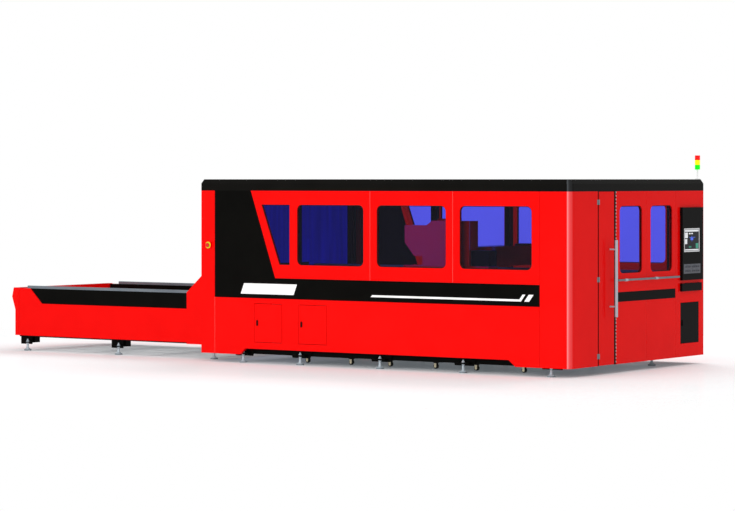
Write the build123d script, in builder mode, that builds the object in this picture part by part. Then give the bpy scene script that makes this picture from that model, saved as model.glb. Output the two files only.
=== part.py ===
"""Enclosed fibre laser sheet-cutting machine with a two-level pallet exchange table.

The long side runs along X with the operator's end at +X and the exchange table at -X.
The windowed near side faces -Y. The floor is Z = 0 and the origin is the middle of the floor area.
Sizes are in millimetres.
"""
from math import atan, degrees
import os

from build123d import *

os.makedirs("parts", exist_ok=True)

# Overall sizes
enclosure_length = 5177.0
enclosure_width = 3126.0
roof_top = 2200.0
table_length = 3286.0
far_bay = 666.0
handle_standoff = 83.0
handle_radius = 17.5
nose_reach = 55.0

# Sheet metal and frame tubes
sheet = 2.5
panel_depth = 40.0
seam = 3.0
frame_tube = 80.0
fit = 0.05
running_gap = 0.3
overrun = 5.0

# Roof
roof_bottom = 2064.0
roof_slope_height = 50.0
roof_slope_inset = 25.0
corner_radius = 80.0

# Long walls, as heights and as distances from the operator's end
skirt_bottom = 101.0
skirt_raised = 174.0
skirt_left_start = 4590.0
skirt_left_end = 4510.0
skirt_right_start = 800.0
skirt_right_end = 710.0
band_bottom = 783.0
band_top = 1021.0
band_end = 391.0
column_width = 205.0
slant_top = 160.0
slant_bottom = 63.0

# Windows of the long walls
window_bottom = 1185.0
window_top = 1899.0
window_radius = 66.0
window_width = 957.0
window_pitch = 1144.0
window_last = 495.0
first_mullion = 109.0
first_window_top = 419.0
first_window_bottom = 152.0
pane_thickness = 6.0
pane_set_back = 14.0

# Access doors of the near wall
access_width = 405.0
access_bottom = 257.0
access_top = 714.0
access_places = (4168.0, 3515.0)
door_gap = 4.0
small_door_depth = 20.0
pivot_inset = 8.0
pivot_radius = 3.0
pivot_extra = 3.0
latch_width = 20.0
latch_height = 68.0
latch_thickness = 9.0
latch_inset = 44.0
latch_spindle = 5.0
latch_cam_length = 26.0
latch_cam_width = 12.0
latch_cam_thickness = 4.0
latch_cam_depth = 11.0

# Operator's end wall, as distances from the near wall
hinge_gap_start = 610.0
hinge_gap_end = 636.0
side_door_end = 975.0
side_door_bottom = 104.0
side_door_top = 2061.0
end_panel_start = 1027.0
console_panel_width = 697.0
end_window_share = 0.742
end_window_shift = 10.0
end_post_width = 60.0
end_post_depth = 40.0
end_window_bottom = 1128.0
end_window_top = 1896.0
door_post_width = 42.0
door_post_set_back = 4.0
hinge_strip_gap = 2.0

# Butt hinges of the side door
hinge_height = 57.0
hinge_leaf = 28.0
hinge_leaf_thickness = 3.0
knuckle_radius = 6.0
hinge_pin_radius = 3.0
hinge_places = (209.0, 1072.0, 1942.0)

# Handle and grab rail
handle_place = 884.0
handle_bottom = 642.0
handle_top = 1514.0
handle_post_low = 761.0
handle_post_high = 1408.0
handle_post_radius = 9.0
handle_edge = 3.0
rail_radius = 12.5
rail_standoff = 50.0
rail_height = 1055.0
rail_start = 985.0
rail_post_shares = (0.128, 0.619)
rail_post_radius = 8.0

# Operator's console, as distances from the far wall
console_start = 586.0
console_end = 66.0
console_bottom = 1007.0
console_top = 1868.0
console_depth = 35.0
console_edge = 6.0
monitor_start = 548.0
monitor_width = 384.0
monitor_bottom = 1340.0
monitor_height = 279.0
monitor_depth = 10.0
monitor_bezel = 14.0
monitor_recess = 3.0
key_panel_start = 556.0
key_panel_width = 415.0
key_panel_bottom = 1084.0
key_panel_height = 113.0
key_panel_depth = 5.0
key_radius = 11.0
key_height = 7.0
key_pitch = 48.0
key_rows_pitch = 50.0
key_groups = (3, 4)
key_group_gap = 26.0

# Keyboard drawer and control cabinet behind the console, as distances from the far wall
drawer_start = 586.0
drawer_width = 496.0
drawer_bottom = 876.0
drawer_height = 95.0
drawer_front = 30.0
drawer_travel = 260.0
drawer_slot_margin = 12.0
tray_thickness = 10.0
tray_side_gap = 10.0
tray_depth = 290.0
keyboard_length = 430.0
keyboard_width = 130.0
keyboard_height = 22.0
runner_width = 30.0
runner_height = 14.0
cabinet_start = 646.0
cabinet_end = 46.0
cabinet_depth = 345.0
cabinet_top = 1060.0
cabinet_door_start = 571.0
cabinet_door_end = 124.0
cabinet_door_bottom = 262.0
cabinet_door_top = 739.0
pivot_lug = 10.0

# Emergency stop on the near column
stop_inset = 122.0
stop_height = 1406.0
stop_plate = 82.0
stop_plate_depth = 26.0
stop_plate_edge = 5.0
stop_stem_radius = 11.0
stop_head_radius = 20.0
stop_head_depth = 15.0
stop_travel = 6.0
stop_head_gap = 2.0

# Signal tower on the roof
tower_inset_x = 52.0
tower_inset_y = 52.0
tower_pole_radius = 8.0
tower_base_radius = 26.0
tower_base_height = 9.0
tower_pole_top = 2316.0
tower_lens_radius = 31.0
tower_lens_height = 56.5
tower_lens_edge = 4.0

# Machine bed
bed_beam = 230.0
bed_bottom = 105.0
bed_top = 1100.0
bed_left = 5050.0
bed_right = 130.0
bed_window_places = (4168.0, 3515.0, 2616.0, 1816.0, 1016.0)
cross_places = (4700.0, 3000.0, 1800.0, 450.0)
cross_bottom = 130.0
cross_height = 120.0
cross_width = 120.0
rail_width = 34.0
rail_thickness = 30.0
rack_width = 25.0
rack_gap = 30.0

# Levelling feet
foot_places = (4601.0, 3753.0, 2606.0, 1455.0, 290.0)
foot_height = 100.0
foot_base_radius = 46.0
foot_base_height = 14.0
foot_cone_radius = 15.0
foot_cone_height = 34.0
foot_stud_radius = 9.0
foot_stud_top = 148.0
foot_plate_length = 180.0
foot_plate_reach = 76.0
foot_plate_thickness = 18.0

# Scrap carts under the bed
cart_places = (3600.0, 2400.0, 1200.0)
cart_length = 860.0
cart_side_gap = 80.0
cart_bottom = 78.0
cart_top = 320.0
cart_wall = 4.0
castor_spacing = 640.0
castor_inset = 40.0
castor_radius = 30.0
castor_width = 26.0
castor_fork = 8.0
castor_axle_radius = 6.0

# Power and laser source cabinet in the far bay
power_bed_gap = 80.0
power_wall_gap = 46.0
power_left = 2700.0
power_right = 900.0
power_height = 846.0
power_edge = 10.0
power_door_gap = 6.0
power_door_depth = 3.0

# Gantry
saddle_left = 2310.0
saddle_right = 1150.0
saddle_width = 200.0
saddle_thickness = 40.0
block_height = 70.0
block_length = 140.0
block_width = 80.0
beam_left = 2040.0
beam_width = 300.0
beam_height = 240.0
beam_end_gap = 20.0
hood_left = 2295.0
hood_right = 1410.0
hood_foot = 245.0
hood_sill = 130.0
hood_sill_height = 106.0
hood_cheek_height = 263.0
hood_low_height = 460.0
hood_step_start = 300.0
hood_step_end = 380.0
hood_height = 515.0
hood_width = 188.0
far_hood_height = 215.0
far_hood_slope = 16.0
drive_width = 250.0
drive_depth = 175.0
drive_height = 180.0
drive_edge = 12.0
cross_rail = 25.0
cross_rail_reach = 20.0
cross_rail_low = 50.0
cross_rail_high = 160.0

# Cutting head and its carriage
carriage_rest = -380.0
carriage_half = 140.0
carriage_height = 280.0
carriage_thickness = 49.0
carriage_lift = 10.0
carriage_clear = 6.0
key_half = 20.0
key_depth = 10.0
slide_half = 70.0
slide_thickness = 30.0
slide_height = 400.0
slide_drop = 170.0
cover_reach = 185.0
cover_height = 530.0
cover_slope = 70.0
cover_slope_height = 130.0
head_half = 42.0
head_body_bottom = 1080.0
head_body_top = 1400.0
head_top = 1540.0
head_neck_radius = 24.0
head_top_radius = 30.0
head_tip_radius = 5.0
head_tip = 870.0
head_cone_bottom = 905.0
head_cone_radius = 13.0
head_ring_bottom = 985.0
head_ring_radius = 30.0
head_edge = 6.0
z_motor_height = 150.0

# Exchange table
table_bottom = 194.0
table_top = 800.0
table_band_bottom = 608.0
table_band_low = 453.0
table_band_high = 256.0
table_band_recess = 8.0
end_cover_depth = 62.0
end_cover_top = 806.0
nose_height = 690.0
nose_bottom = 523.0
nose_top_reach = 27.0
gusset_length = 458.0
gusset_low = 810.0
gusset_high = 1220.0
gusset_bottom = 176.0
gusset_thickness = 12.0
side_plate = 10.0
top_rail_start = 203.0
top_rail_height = 35.0
top_rail_edge = 8.0
table_cross_shares = (0.913, 0.639, 0.335, 0.076)
table_cross_size = 80.0
table_foot_shares = (0.9474, 0.4848, 0.0222)
leg_length = 140.0
leg_width = 190.0
leg_plate = 12.0
leg_foot_inset = 45.0
motor_share = 0.913
motor_radius = 38.0
motor_length = 260.0
gearbox_size = 80.0
guard_width = 60.0
guard_bottom = 460.0
guard_height = 60.0

# Pallets and their tracks
pallet_table_gap = 226.0
pallet_start = 338.0
pallet_side_gap = 120.0
pallet_stroke_extra = 350.0
pallet_tube = 60.0
pallet_tube_height = 88.0
pallet_lift = 12.0
level_drop = 250.0
track_top = 600.0
track_thickness = 10.0
track_height = 60.0
track_lip = 115.0
wheel_radius = 40.0
wheel_width = 30.0
wheel_gap = 5.0
wheel_axle_radius = 10.0
wheel_inset_shares = (0.06, 0.35, 0.65, 0.94)
bearer_width = 40.0
bearer_place_shares = (-0.5, 0.0, 0.5)
bearer_height = 78.0
slat_count = 24
slat_height = 110.0
slat_thickness = 4.0
slat_teeth = 12
slat_tooth_height = 32.0

# Pallet mouth and its lifting gate in the table-side wall
mouth_margin = 20.0
mouth_bottom = 290.0
mouth_top = 1120.0
gate_bottom = 840.0
gate_height = 310.0
gate_thickness = 15.0
gate_offset = 5.0
gate_overlap = 25.0
gate_travel = 290.0
guide_wall = 4.0
guide_groove = 22.0

# Places worked out from the sizes above
reach = enclosure_length + table_length + nose_reach + handle_standoff + handle_radius
end_x = reach / 2 - handle_standoff - handle_radius
left_x = end_x - enclosure_length
table_x = left_x - table_length
near_y = -enclosure_width / 2
far_y = enclosure_width / 2
wall_depth = panel_depth + frame_tube
bed_near = near_y + wall_depth
bed_half = (enclosure_width - 2 * wall_depth - far_bay) / 2
bed_inner_half = bed_half - bed_beam
work_y = bed_near + bed_half
table_half = bed_inner_half + side_plate + panel_depth
table_near_y = work_y - table_half
pallet_half = bed_inner_half - pallet_side_gap
pallet_length = table_length - pallet_table_gap
pallet_stroke = pallet_length + pallet_stroke_extra
track_inner = bed_inner_half - track_lip
mouth_width = 2 * (bed_inner_half + mouth_margin)
cart_half_width = bed_inner_half - cart_side_gap
castor_half_spacing = cart_half_width - castor_inset
console_panel_start = enclosure_width - console_panel_width
end_panel_seam = (end_panel_start + console_panel_start) / 2
end_window_width = end_window_share * (end_panel_seam - end_panel_start)
rail_end = console_panel_start
first_window_end = window_last + 2 * window_pitch + window_width + first_mullion
slant_top_end = first_window_end + first_window_top + slant_top
slant_bottom_end = first_window_end + first_window_bottom + slant_bottom


def along(distance):
    """X at a distance from the operator's end wall."""
    return end_x - distance


def across(distance):
    """Y at a distance from the near wall."""
    return near_y + distance


def before(distance):
    """Y at a distance from the far wall."""
    return far_y - distance


def side_view(y):
    """A plane across the machine at Y, seen from the near side, with X and Z as its axes."""
    return Plane.XZ.offset(-y)


def outline(*points, mode=Mode.ADD):
    """A straight-edged face through points, in the sketch that is open."""
    with BuildLine() as path:
        Polyline(*points, close=True)
    make_face(path.edges(), mode=mode)


def block(x0, x1, y0, y1, z0, z1, mode=Mode.ADD):
    """A square block between two corners, in the part that is open."""
    with Locations(((x0 + x1) / 2, (y0 + y1) / 2, (z0 + z1) / 2)):
        Box(x1 - x0, y1 - y0, z1 - z0, mode=mode)


def folded(face, depth):
    """A sheet with its outer edges and the edges of its cut-outs folded back by a depth."""
    normal = face.sketch.faces()[0].normal_at()
    inner = offset(face.sketch, amount=-sheet, kind=Kind.INTERSECTION, mode=Mode.PRIVATE)
    with BuildPart() as panel:
        extrude(face.sketch, amount=-depth)
        extrude(inner.moved(Location(normal * -sheet)), amount=-depth, mode=Mode.SUBTRACT)
    return panel.part


def bar(x0, x1, y0, y1, z0, z1):
    """A square bar between two corners, as a piece of its own."""
    with BuildPart() as piece:
        block(x0, x1, y0, y1, z0, z1)
    return piece.part


def keep(piece, name):
    """Label a finished piece and write it."""
    piece.part.label = name
    export_step(piece.part, f"parts/{name}.step")


def keep_welded(pieces, name):
    """Write bars and plates that are welded face to face as one group."""
    group = Compound([solid for piece in pieces for solid in piece.solids()])
    group.label = name
    export_step(group, f"parts/{name}.step")


# Bed: two tall side frames welded from bars, with hand openings between their uprights
def bed_side(outer, inward):
    y_ends = sorted((outer, outer + inward * bed_beam))
    bars = [
        bar(along(bed_left), along(bed_right), *y_ends, bed_bottom, access_bottom),
        bar(along(bed_left), along(bed_right), *y_ends, access_top, bed_top),
    ]
    upright_start = along(bed_left)
    for place in bed_window_places:
        bars.append(bar(upright_start, along(place) - access_width / 2, *y_ends, access_bottom, access_top))
        upright_start = along(place) + access_width / 2
    bars.append(bar(upright_start, along(bed_right), *y_ends, access_bottom, access_top))
    plate_ends = sorted((outer, outer - inward * foot_plate_reach))
    for place in foot_places:
        with BuildPart() as foot_plate:
            block(
                along(place) - foot_plate_length / 2,
                along(place) + foot_plate_length / 2,
                *plate_ends,
                foot_height,
                foot_height + foot_plate_thickness,
            )
            with Locations((along(place), outer - inward * foot_plate_reach / 2, foot_height)):
                Cylinder(foot_stud_radius + fit, foot_plate_thickness * 3, mode=Mode.SUBTRACT)
        bars.append(foot_plate.part)
    return bars


bed_pieces = bed_side(bed_near, 1) + bed_side(2 * work_y - bed_near, -1)
for place in cross_places:
    bed_pieces.append(
        bar(
            along(place) - cross_width / 2,
            along(place) + cross_width / 2,
            work_y - bed_inner_half,
            work_y + bed_inner_half,
            cross_bottom,
            cross_bottom + cross_height,
        )
    )
keep_welded(bed_pieces, "bed_frame")

# Levelling feet: round base, cone and stud
with BuildPart() as foot:
    with BuildSketch(Plane.XZ):
        outline(
            (0, 0),
            (foot_base_radius, 0),
            (foot_base_radius, foot_base_height),
            (foot_cone_radius, foot_cone_height),
            (foot_stud_radius, foot_cone_height),
            (foot_stud_radius, foot_stud_top),
            (0, foot_stud_top),
        )
    revolve(axis=Axis.Z)

bed_foot_half = bed_half + foot_plate_reach / 2
table_foot_half = table_half - leg_foot_inset
with BuildPart() as levelling_feet:
    for side in (-1, 1):
        for place in foot_places:
            with Locations((along(place), work_y + side * bed_foot_half, 0)):
                add(foot.part)
        for share in table_foot_shares:
            with Locations((left_x - share * table_length, work_y + side * table_foot_half, 0)):
                add(foot.part)
keep(levelling_feet, "levelling_feet")

# Linear guide rails and toothed racks on the bed
with BuildPart() as x_guides:
    for side in (-1, 1):
        rail_y = work_y + side * (bed_half - bed_beam / 2)
        rack_y = rail_y - side * (rail_width / 2 + rack_gap + rack_width / 2)
        for y, width in ((rail_y, rail_width), (rack_y, rack_width)):
            block(
                along(bed_left),
                along(bed_right),
                y - width / 2,
                y + width / 2,
                bed_top,
                bed_top + rail_thickness,
            )
keep(x_guides, "x_guides")


# Pallet tracks: angle bars at two levels, in the bed and in the table
def track(start, length, level, side, seat_half):
    with BuildSketch(Plane.YZ.offset(start)) as angle:
        inner = work_y + side * track_inner
        seat = work_y + side * seat_half
        wall = work_y + side * (seat_half - track_thickness)
        outline(
            (inner, level - track_thickness),
            (inner, level),
            (wall, level),
            (wall, level + track_height),
            (seat, level + track_height),
            (seat, level - track_thickness),
        )
    extrude(angle.sketch, amount=length)


bed_track_start = along(bed_left)
table_plate_half = table_half - panel_depth
with BuildPart() as pallet_tracks:
    for side in (-1, 1):
        for level in (track_top, track_top - level_drop):
            bed_track = left_x + pallet_start + pallet_length - bed_track_start
            track(bed_track_start, bed_track, level, side, bed_inner_half)
            table_track_start = table_x + end_cover_depth + seam
            track(
                table_track_start,
                left_x - table_track_start,
                level,
                side,
                table_plate_half - side_plate,
            )
keep(pallet_tracks, "pallet_tracks")


# Pallets: welded frame with bearers and wheels, and a bed of saw-tooth slats
pallet_left = left_x + pallet_start


def pallet_frame(start, level):
    bottom = level + pallet_lift
    top = bottom + pallet_tube_height
    block(start, start + pallet_length, work_y - pallet_half, work_y + pallet_half, bottom, top)
    block(
        start + pallet_tube,
        start + pallet_length - pallet_tube,
        work_y - pallet_half + pallet_tube,
        work_y + pallet_half - pallet_tube,
        bottom,
        top,
        mode=Mode.SUBTRACT,
    )
    for share in bearer_place_shares:
        bearer_y = work_y + share * pallet_half
        block(
            start + pallet_tube,
            start + pallet_length - pallet_tube,
            bearer_y - bearer_width / 2,
            bearer_y + bearer_width / 2,
            bottom,
            bottom + bearer_height,
        )
    for side in (-1, 1):
        for share in wheel_inset_shares:
            wheel_x = start + share * pallet_length
            wheel_z = level + wheel_radius + running_gap
            wheel_y = work_y + side * (pallet_half + wheel_gap + wheel_width / 2)
            with Locations(Location((wheel_x, wheel_y, wheel_z), (90, 0, 0))):
                Cylinder(wheel_radius, wheel_width)
            stub_y = work_y + side * (pallet_half + wheel_gap / 2)
            with Locations(Location((wheel_x, stub_y, wheel_z), (90, 0, 0))):
                Cylinder(wheel_axle_radius, wheel_gap)


slat_half = pallet_half - pallet_tube
tooth_pitch = 2 * slat_half / slat_teeth
with BuildPart() as slat:
    with BuildSketch(Plane.YZ):
        crest = []
        for tooth in range(slat_teeth):
            crest.append((-slat_half + tooth * tooth_pitch, slat_height - slat_tooth_height))
            crest.append((-slat_half + (tooth + 1 / 2) * tooth_pitch, slat_height))
        outline((slat_half, 0), (-slat_half, 0), *crest, (slat_half, slat_height - slat_tooth_height))
    extrude(amount=slat_thickness)

slat_run = pallet_length - 2 * pallet_tube
slat_pitch = slat_run / slat_count


def pallet_slats(start, level):
    slat_z = level + pallet_lift + bearer_height
    for number in range(slat_count):
        slat_x = start + pallet_tube + (number + 1 / 2) * slat_pitch
        with Locations((slat_x - slat_thickness / 2, work_y, slat_z)):
            add(slat.part)


with BuildPart() as upper_pallet:
    pallet_frame(pallet_left, track_top)
keep(upper_pallet, "upper_pallet_frame")

with BuildPart() as upper_slats:
    pallet_slats(pallet_left, track_top)
keep(upper_slats, "upper_pallet_slats")

with BuildPart() as lower_pallet:
    pallet_frame(pallet_left - pallet_stroke, track_top - level_drop)
keep(lower_pallet, "lower_pallet_frame")

with BuildPart() as lower_slats:
    pallet_slats(pallet_left - pallet_stroke, track_top - level_drop)
keep(lower_slats, "lower_pallet_slats")

# Scrap carts and their castors
with BuildPart() as scrap_carts:
    for place in cart_places:
        for wall, mode in ((0, Mode.ADD), (cart_wall, Mode.SUBTRACT)):
            block(
                along(place) - cart_length / 2 + wall,
                along(place) + cart_length / 2 - wall,
                work_y - cart_half_width + wall,
                work_y + cart_half_width - wall,
                cart_bottom + wall,
                cart_top,
                mode=mode,
            )
keep(scrap_carts, "scrap_carts")

with BuildPart() as castor:
    with Locations(Location((0, 0, castor_radius), (90, 0, 0))):
        Cylinder(castor_radius, castor_width)
    fork_half = castor_width / 2 + castor_fork
    block(-castor_radius, castor_radius, -fork_half, fork_half, cart_bottom - castor_fork, cart_bottom)
    for side in (-1, 1):
        y_ends = sorted((side * castor_width / 2, side * fork_half))
        block(-castor_radius / 2, castor_radius / 2, *y_ends, castor_radius / 2, cart_bottom)

with BuildPart() as cart_castors:
    for place in cart_places:
        for side in (-1, 1):
            for end in (-1, 1):
                castor_x = along(place) + end * castor_spacing / 2
                with Locations((castor_x, work_y + side * castor_half_spacing, 0)):
                    add(castor.part)
keep(cart_castors, "cart_castors")

# Exchange table: side plates on cross tubes and leg brackets, with closed chain guards inside
plate_start = table_x + end_cover_depth
with BuildPart() as chain_guards:
    for side in (-1, 1):
        guard_half = table_plate_half - side_plate
        y_ends = sorted((work_y + side * guard_half, work_y + side * (guard_half - guard_width)))
        block(plate_start, left_x, *y_ends, guard_bottom, guard_bottom + guard_height)
    chamfer(chain_guards.edges().filter_by(Axis.X), top_rail_edge)

table_pieces = [chain_guards.part]
for side in (-1, 1):
    y_ends = sorted((work_y + side * table_plate_half, work_y + side * (table_plate_half - side_plate)))
    table_pieces.append(bar(plate_start, left_x, *y_ends, table_bottom, table_top))
    for share in table_foot_shares:
        leg_x = left_x - share * table_length
        leg_outer = work_y + side * (table_foot_half + leg_foot_inset * 3 / 4)
        leg_inner = leg_outer - side * leg_width
        x_ends = (leg_x - leg_length / 2, leg_x + leg_length / 2)
        y_ends = sorted((leg_outer, leg_inner))
        y_web = sorted((leg_inner, leg_inner + side * leg_width / 2))
        with BuildPart() as leg:
            block(*x_ends, *y_ends, foot_height, foot_height + leg_plate)
            block(*x_ends, *y_ends, table_bottom - leg_plate, table_bottom)
            block(*x_ends, *y_web, foot_height, table_bottom)
            with Locations((leg_x, work_y + side * table_foot_half, foot_height)):
                Cylinder(foot_stud_radius + fit, leg_plate * 3, mode=Mode.SUBTRACT)
        table_pieces.append(leg.part)
for share in table_cross_shares:
    tube_x = left_x - share * table_length
    table_pieces.append(
        bar(
            tube_x - table_cross_size / 2,
            tube_x + table_cross_size / 2,
            work_y - table_plate_half + side_plate,
            work_y + table_plate_half - side_plate,
            table_bottom,
            table_bottom + table_cross_size,
        )
    )
keep_welded(table_pieces, "table_frame")

# Red side panels of the table, and the gusset plates that tie it to the enclosure
across_work = Plane.XZ.offset(-work_y)
panel_start = table_x + end_cover_depth + seam
with BuildSketch(side_view(table_near_y)) as table_side_face:
    outline(
        (panel_start, table_bottom),
        (left_x, table_bottom),
        (left_x, table_band_bottom),
        (table_x + table_band_low, table_band_bottom),
        (table_x + table_band_high, table_top),
        (panel_start, table_top),
    )
table_side = folded(table_side_face, panel_depth)
with BuildPart() as gusset:
    with BuildSketch(side_view(table_near_y)):
        outline(
            (left_x - gusset_length, gusset_bottom),
            (left_x, gusset_bottom),
            (left_x, gusset_high),
            (left_x - gusset_length, gusset_low),
        )
    extrude(amount=gusset_thickness)
with BuildPart() as table_sides:
    add(table_side)
    add(gusset.part)
    mirror(table_side, about=across_work)
    mirror(gusset.part, about=across_work)
keep(table_sides, "table_side_panels")

# Dark inset bands of the table sides
with BuildSketch(side_view(table_near_y + table_band_recess)) as table_band_face:
    outline(
        (table_x + table_band_low + seam, table_band_bottom + seam),
        (left_x, table_band_bottom + seam),
        (left_x, table_top),
        (table_x + table_band_high + seam, table_top),
    )
table_band = folded(table_band_face, panel_depth - table_band_recess)
with BuildPart() as table_bands:
    add(table_band)
    mirror(table_band, about=across_work)
keep(table_bands, "table_bands")

# End cover of the table with its bent nose
with BuildPart() as table_end:
    with BuildSketch(side_view(table_near_y)):
        outline(
            (table_x, table_bottom),
            (table_x, nose_bottom),
            (table_x - nose_reach, nose_height),
            (table_x - nose_top_reach, end_cover_top),
            (table_x + end_cover_depth, end_cover_top),
            (table_x + end_cover_depth, table_bottom),
        )
    extrude(amount=-2 * table_half)
keep(table_end, "table_end_cover")

# Steel rails along the top of the table sides
with BuildPart() as top_rails:
    for side in (-1, 1):
        y_ends = sorted((work_y + side * (table_half - table_band_recess), work_y + side * table_plate_half))
        block(table_x + top_rail_start, left_x, *y_ends, table_top, table_top + top_rail_height)
    fillet(top_rails.faces().sort_by(Axis.Z)[-2:].edges().filter_by(Axis.X), top_rail_edge)
keep(top_rails, "table_top_rails")

# Gear motor of the pallet drive
with BuildPart() as shuttle_motor:
    motor_x = left_x - motor_share * table_length
    motor_seat = table_bottom + table_cross_size
    gearbox_z = motor_seat + gearbox_size / 2
    with Locations((motor_x, work_y, gearbox_z)):
        Box(gearbox_size, gearbox_size, gearbox_size)
    with Locations(Location((motor_x, work_y + gearbox_size / 2 + motor_length / 2, gearbox_z), (90, 0, 0))):
        Cylinder(motor_radius, motor_length)
keep(shuttle_motor, "shuttle_motor")

# Enclosure frame of square tubes behind the panels, with the dark posts beside the side door
post_places = (
    enclosure_length - panel_depth - frame_tube / 2,
    window_last + window_pitch * 2 + window_width + first_mullion / 2,
    window_last + window_pitch + window_width / 2 + window_pitch / 2,
    window_last + window_width / 2 + window_pitch / 2,
    band_end,
)
tube_low = skirt_raised
tube_high = roof_bottom - frame_tube
near_tube = near_y + panel_depth
far_tube = far_y - panel_depth - frame_tube
end_tube = end_x - panel_depth - frame_tube
frame_pieces = []
for y in (near_tube, far_tube):
    for z in (tube_low, tube_high):
        frame_pieces.append(bar(left_x + panel_depth, end_tube, y, y + frame_tube, z, z + frame_tube))
    for place in post_places:
        post_x = along(place) - frame_tube / 2
        frame_pieces.append(
            bar(post_x, post_x + frame_tube, y, y + frame_tube, tube_low + frame_tube, tube_high)
        )
for z in (tube_low, tube_high):
    tube_start = near_y + corner_radius
    tube_end = far_tube + frame_tube
    frame_pieces.append(bar(end_tube, end_tube + frame_tube, tube_start, tube_end, z, z + frame_tube))
left_tube = left_x + panel_depth
frame_pieces.append(
    bar(
        left_tube,
        left_tube + frame_tube,
        near_tube + frame_tube,
        far_tube,
        tube_high,
        tube_high + frame_tube,
    )
)
for place in cross_places:
    tie_x = along(place) - frame_tube / 2
    tie_start = work_y + bed_half
    frame_pieces.append(bar(tie_x, tie_x + frame_tube, tie_start, far_tube, tube_low, tube_low + frame_tube))
for place, width, depth in (
    (hinge_gap_start - frame_tube / 2, frame_tube, frame_tube),
    (end_panel_seam, end_post_width, end_post_depth),
    (console_panel_start, end_post_width, end_post_depth),
):
    post_y = across(place) - width / 2
    post_end = end_tube + frame_tube
    frame_pieces.append(
        bar(post_end - depth, post_end, post_y, post_y + width, tube_low + frame_tube, tube_high)
    )
door_post_y = across((side_door_end + end_panel_start) / 2) - door_post_width / 2
frame_pieces.append(
    bar(
        end_tube + frame_tube,
        end_x - door_post_set_back,
        door_post_y,
        door_post_y + door_post_width,
        skirt_bottom,
        roof_bottom,
    )
)
frame_pieces.append(
    bar(
        end_tube + frame_tube,
        end_x - door_post_set_back,
        across(hinge_gap_start + hinge_strip_gap),
        across(hinge_gap_end - hinge_strip_gap),
        skirt_bottom,
        roof_bottom,
    )
)
keep_welded(frame_pieces, "enclosure_frame")

# Near column and its far twin at the table end
near_face = side_view(near_y)
column_edge = left_x + column_width
with BuildSketch(near_face) as column_face:
    outline(
        (left_x, skirt_bottom),
        (column_edge, skirt_bottom),
        (column_edge, roof_bottom),
        (left_x, roof_bottom),
    )
column = folded(column_face, panel_depth)
with BuildPart() as columns:
    add(column)
    mirror(column, about=Plane.XZ)
keep(columns, "corner_columns")

# Dark band with its slanted field, on both long walls
with BuildSketch(near_face) as band_face:
    outline(
        (column_edge + seam, band_bottom),
        (along(band_end + seam), band_bottom),
        (along(band_end + seam), band_top),
        (along(slant_bottom_end), band_top),
        (along(slant_top_end), roof_bottom),
        (column_edge + seam, roof_bottom),
    )
band = folded(band_face, panel_depth)
with BuildPart() as bands:
    add(band)
    mirror(band, about=Plane.XZ)
keep(bands, "dark_bands")


# Window panels of the long walls
window_middle = (window_bottom + window_top) / 2
window_height = window_top - window_bottom


def window_place(number):
    """X of the middle of a wide window, counted from the operator's end."""
    return along(window_last + number * window_pitch + window_width / 2)


def wide_window(number, shrink=0.0, mode=Mode.SUBTRACT):
    with Locations((window_place(number), window_middle)):
        RectangleRounded(
            window_width - 2 * shrink,
            window_height - 2 * shrink,
            window_radius - shrink,
            mode=mode,
        )


first_right = along(first_window_end)


def slanted_window(shrink=0.0, mode=Mode.SUBTRACT):
    outline(
        (first_right - first_window_bottom + shrink, window_bottom + shrink),
        (first_right - shrink, window_bottom + shrink),
        (first_right - shrink, window_top - shrink),
        (first_right - first_window_top + shrink, window_top - shrink),
        mode=mode,
    )


def panel_edge(number):
    """X of the seam on the table side of a wide window."""
    return window_place(number) - window_pitch / 2


panel_faces = []
for number in (0, 1):
    right = along(band_end + seam) if number == 0 else panel_edge(number - 1) - seam
    with BuildSketch(near_face) as window_face:
        outline(
            (panel_edge(number), band_top + seam),
            (right, band_top + seam),
            (right, roof_bottom),
            (panel_edge(number), roof_bottom),
        )
        wide_window(number)
    panel_faces.append(window_face)
with BuildSketch(near_face) as slanted_face:
    outline(
        (along(slant_bottom_end - seam), band_top + seam),
        (panel_edge(1) - seam, band_top + seam),
        (panel_edge(1) - seam, roof_bottom),
        (along(slant_top_end - seam), roof_bottom),
    )
    wide_window(2)
    slanted_window()
panel_faces.append(slanted_face)
window_panels = [folded(face, panel_depth) for face in panel_faces]

with BuildPart() as near_window_panels:
    for panel in window_panels:
        add(panel)
keep(near_window_panels, "near_window_panels")

# Tinted panes of the long walls
with BuildPart() as near_panes:
    with BuildSketch(side_view(near_y + pane_set_back)):
        for number in range(3):
            wide_window(number, running_gap, Mode.ADD)
        slanted_window(running_gap, Mode.ADD)
    extrude(amount=-pane_thickness)
keep(near_panes, "near_window_panes")

with BuildPart() as far_panes:
    mirror(near_panes.part, about=Plane.XZ)
keep(far_panes, "far_window_panes")


# Lower walls with their raised skirt
def skirt_outline():
    outline(
        (column_edge + seam, skirt_bottom),
        (along(skirt_left_start), skirt_bottom),
        (along(skirt_left_end), skirt_raised),
        (along(skirt_right_start), skirt_raised),
        (along(skirt_right_end), skirt_bottom),
        (along(band_end + seam), skirt_bottom),
        (along(band_end + seam), band_bottom - seam),
        (column_edge + seam, band_bottom - seam),
    )


access_middle = (access_bottom + access_top) / 2
access_height = access_top - access_bottom
with BuildSketch(near_face) as skirt_face:
    skirt_outline()
    for place in access_places:
        with Locations((along(place), access_middle)):
            Rectangle(access_width + 2 * door_gap, access_height + 2 * door_gap, mode=Mode.SUBTRACT)
near_skirt = folded(skirt_face, panel_depth)
with BuildPart() as near_lower_wall:
    add(near_skirt)
    for place in access_places:
        pivot_x = along(place) + access_width / 2 - pivot_inset
        with Locations((pivot_x, near_y + pivot_inset, access_middle)):
            Cylinder(
                pivot_radius + fit,
                access_height + 2 * (door_gap + sheet + overrun),
                mode=Mode.SUBTRACT,
            )
keep(near_lower_wall, "near_lower_wall")

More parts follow.
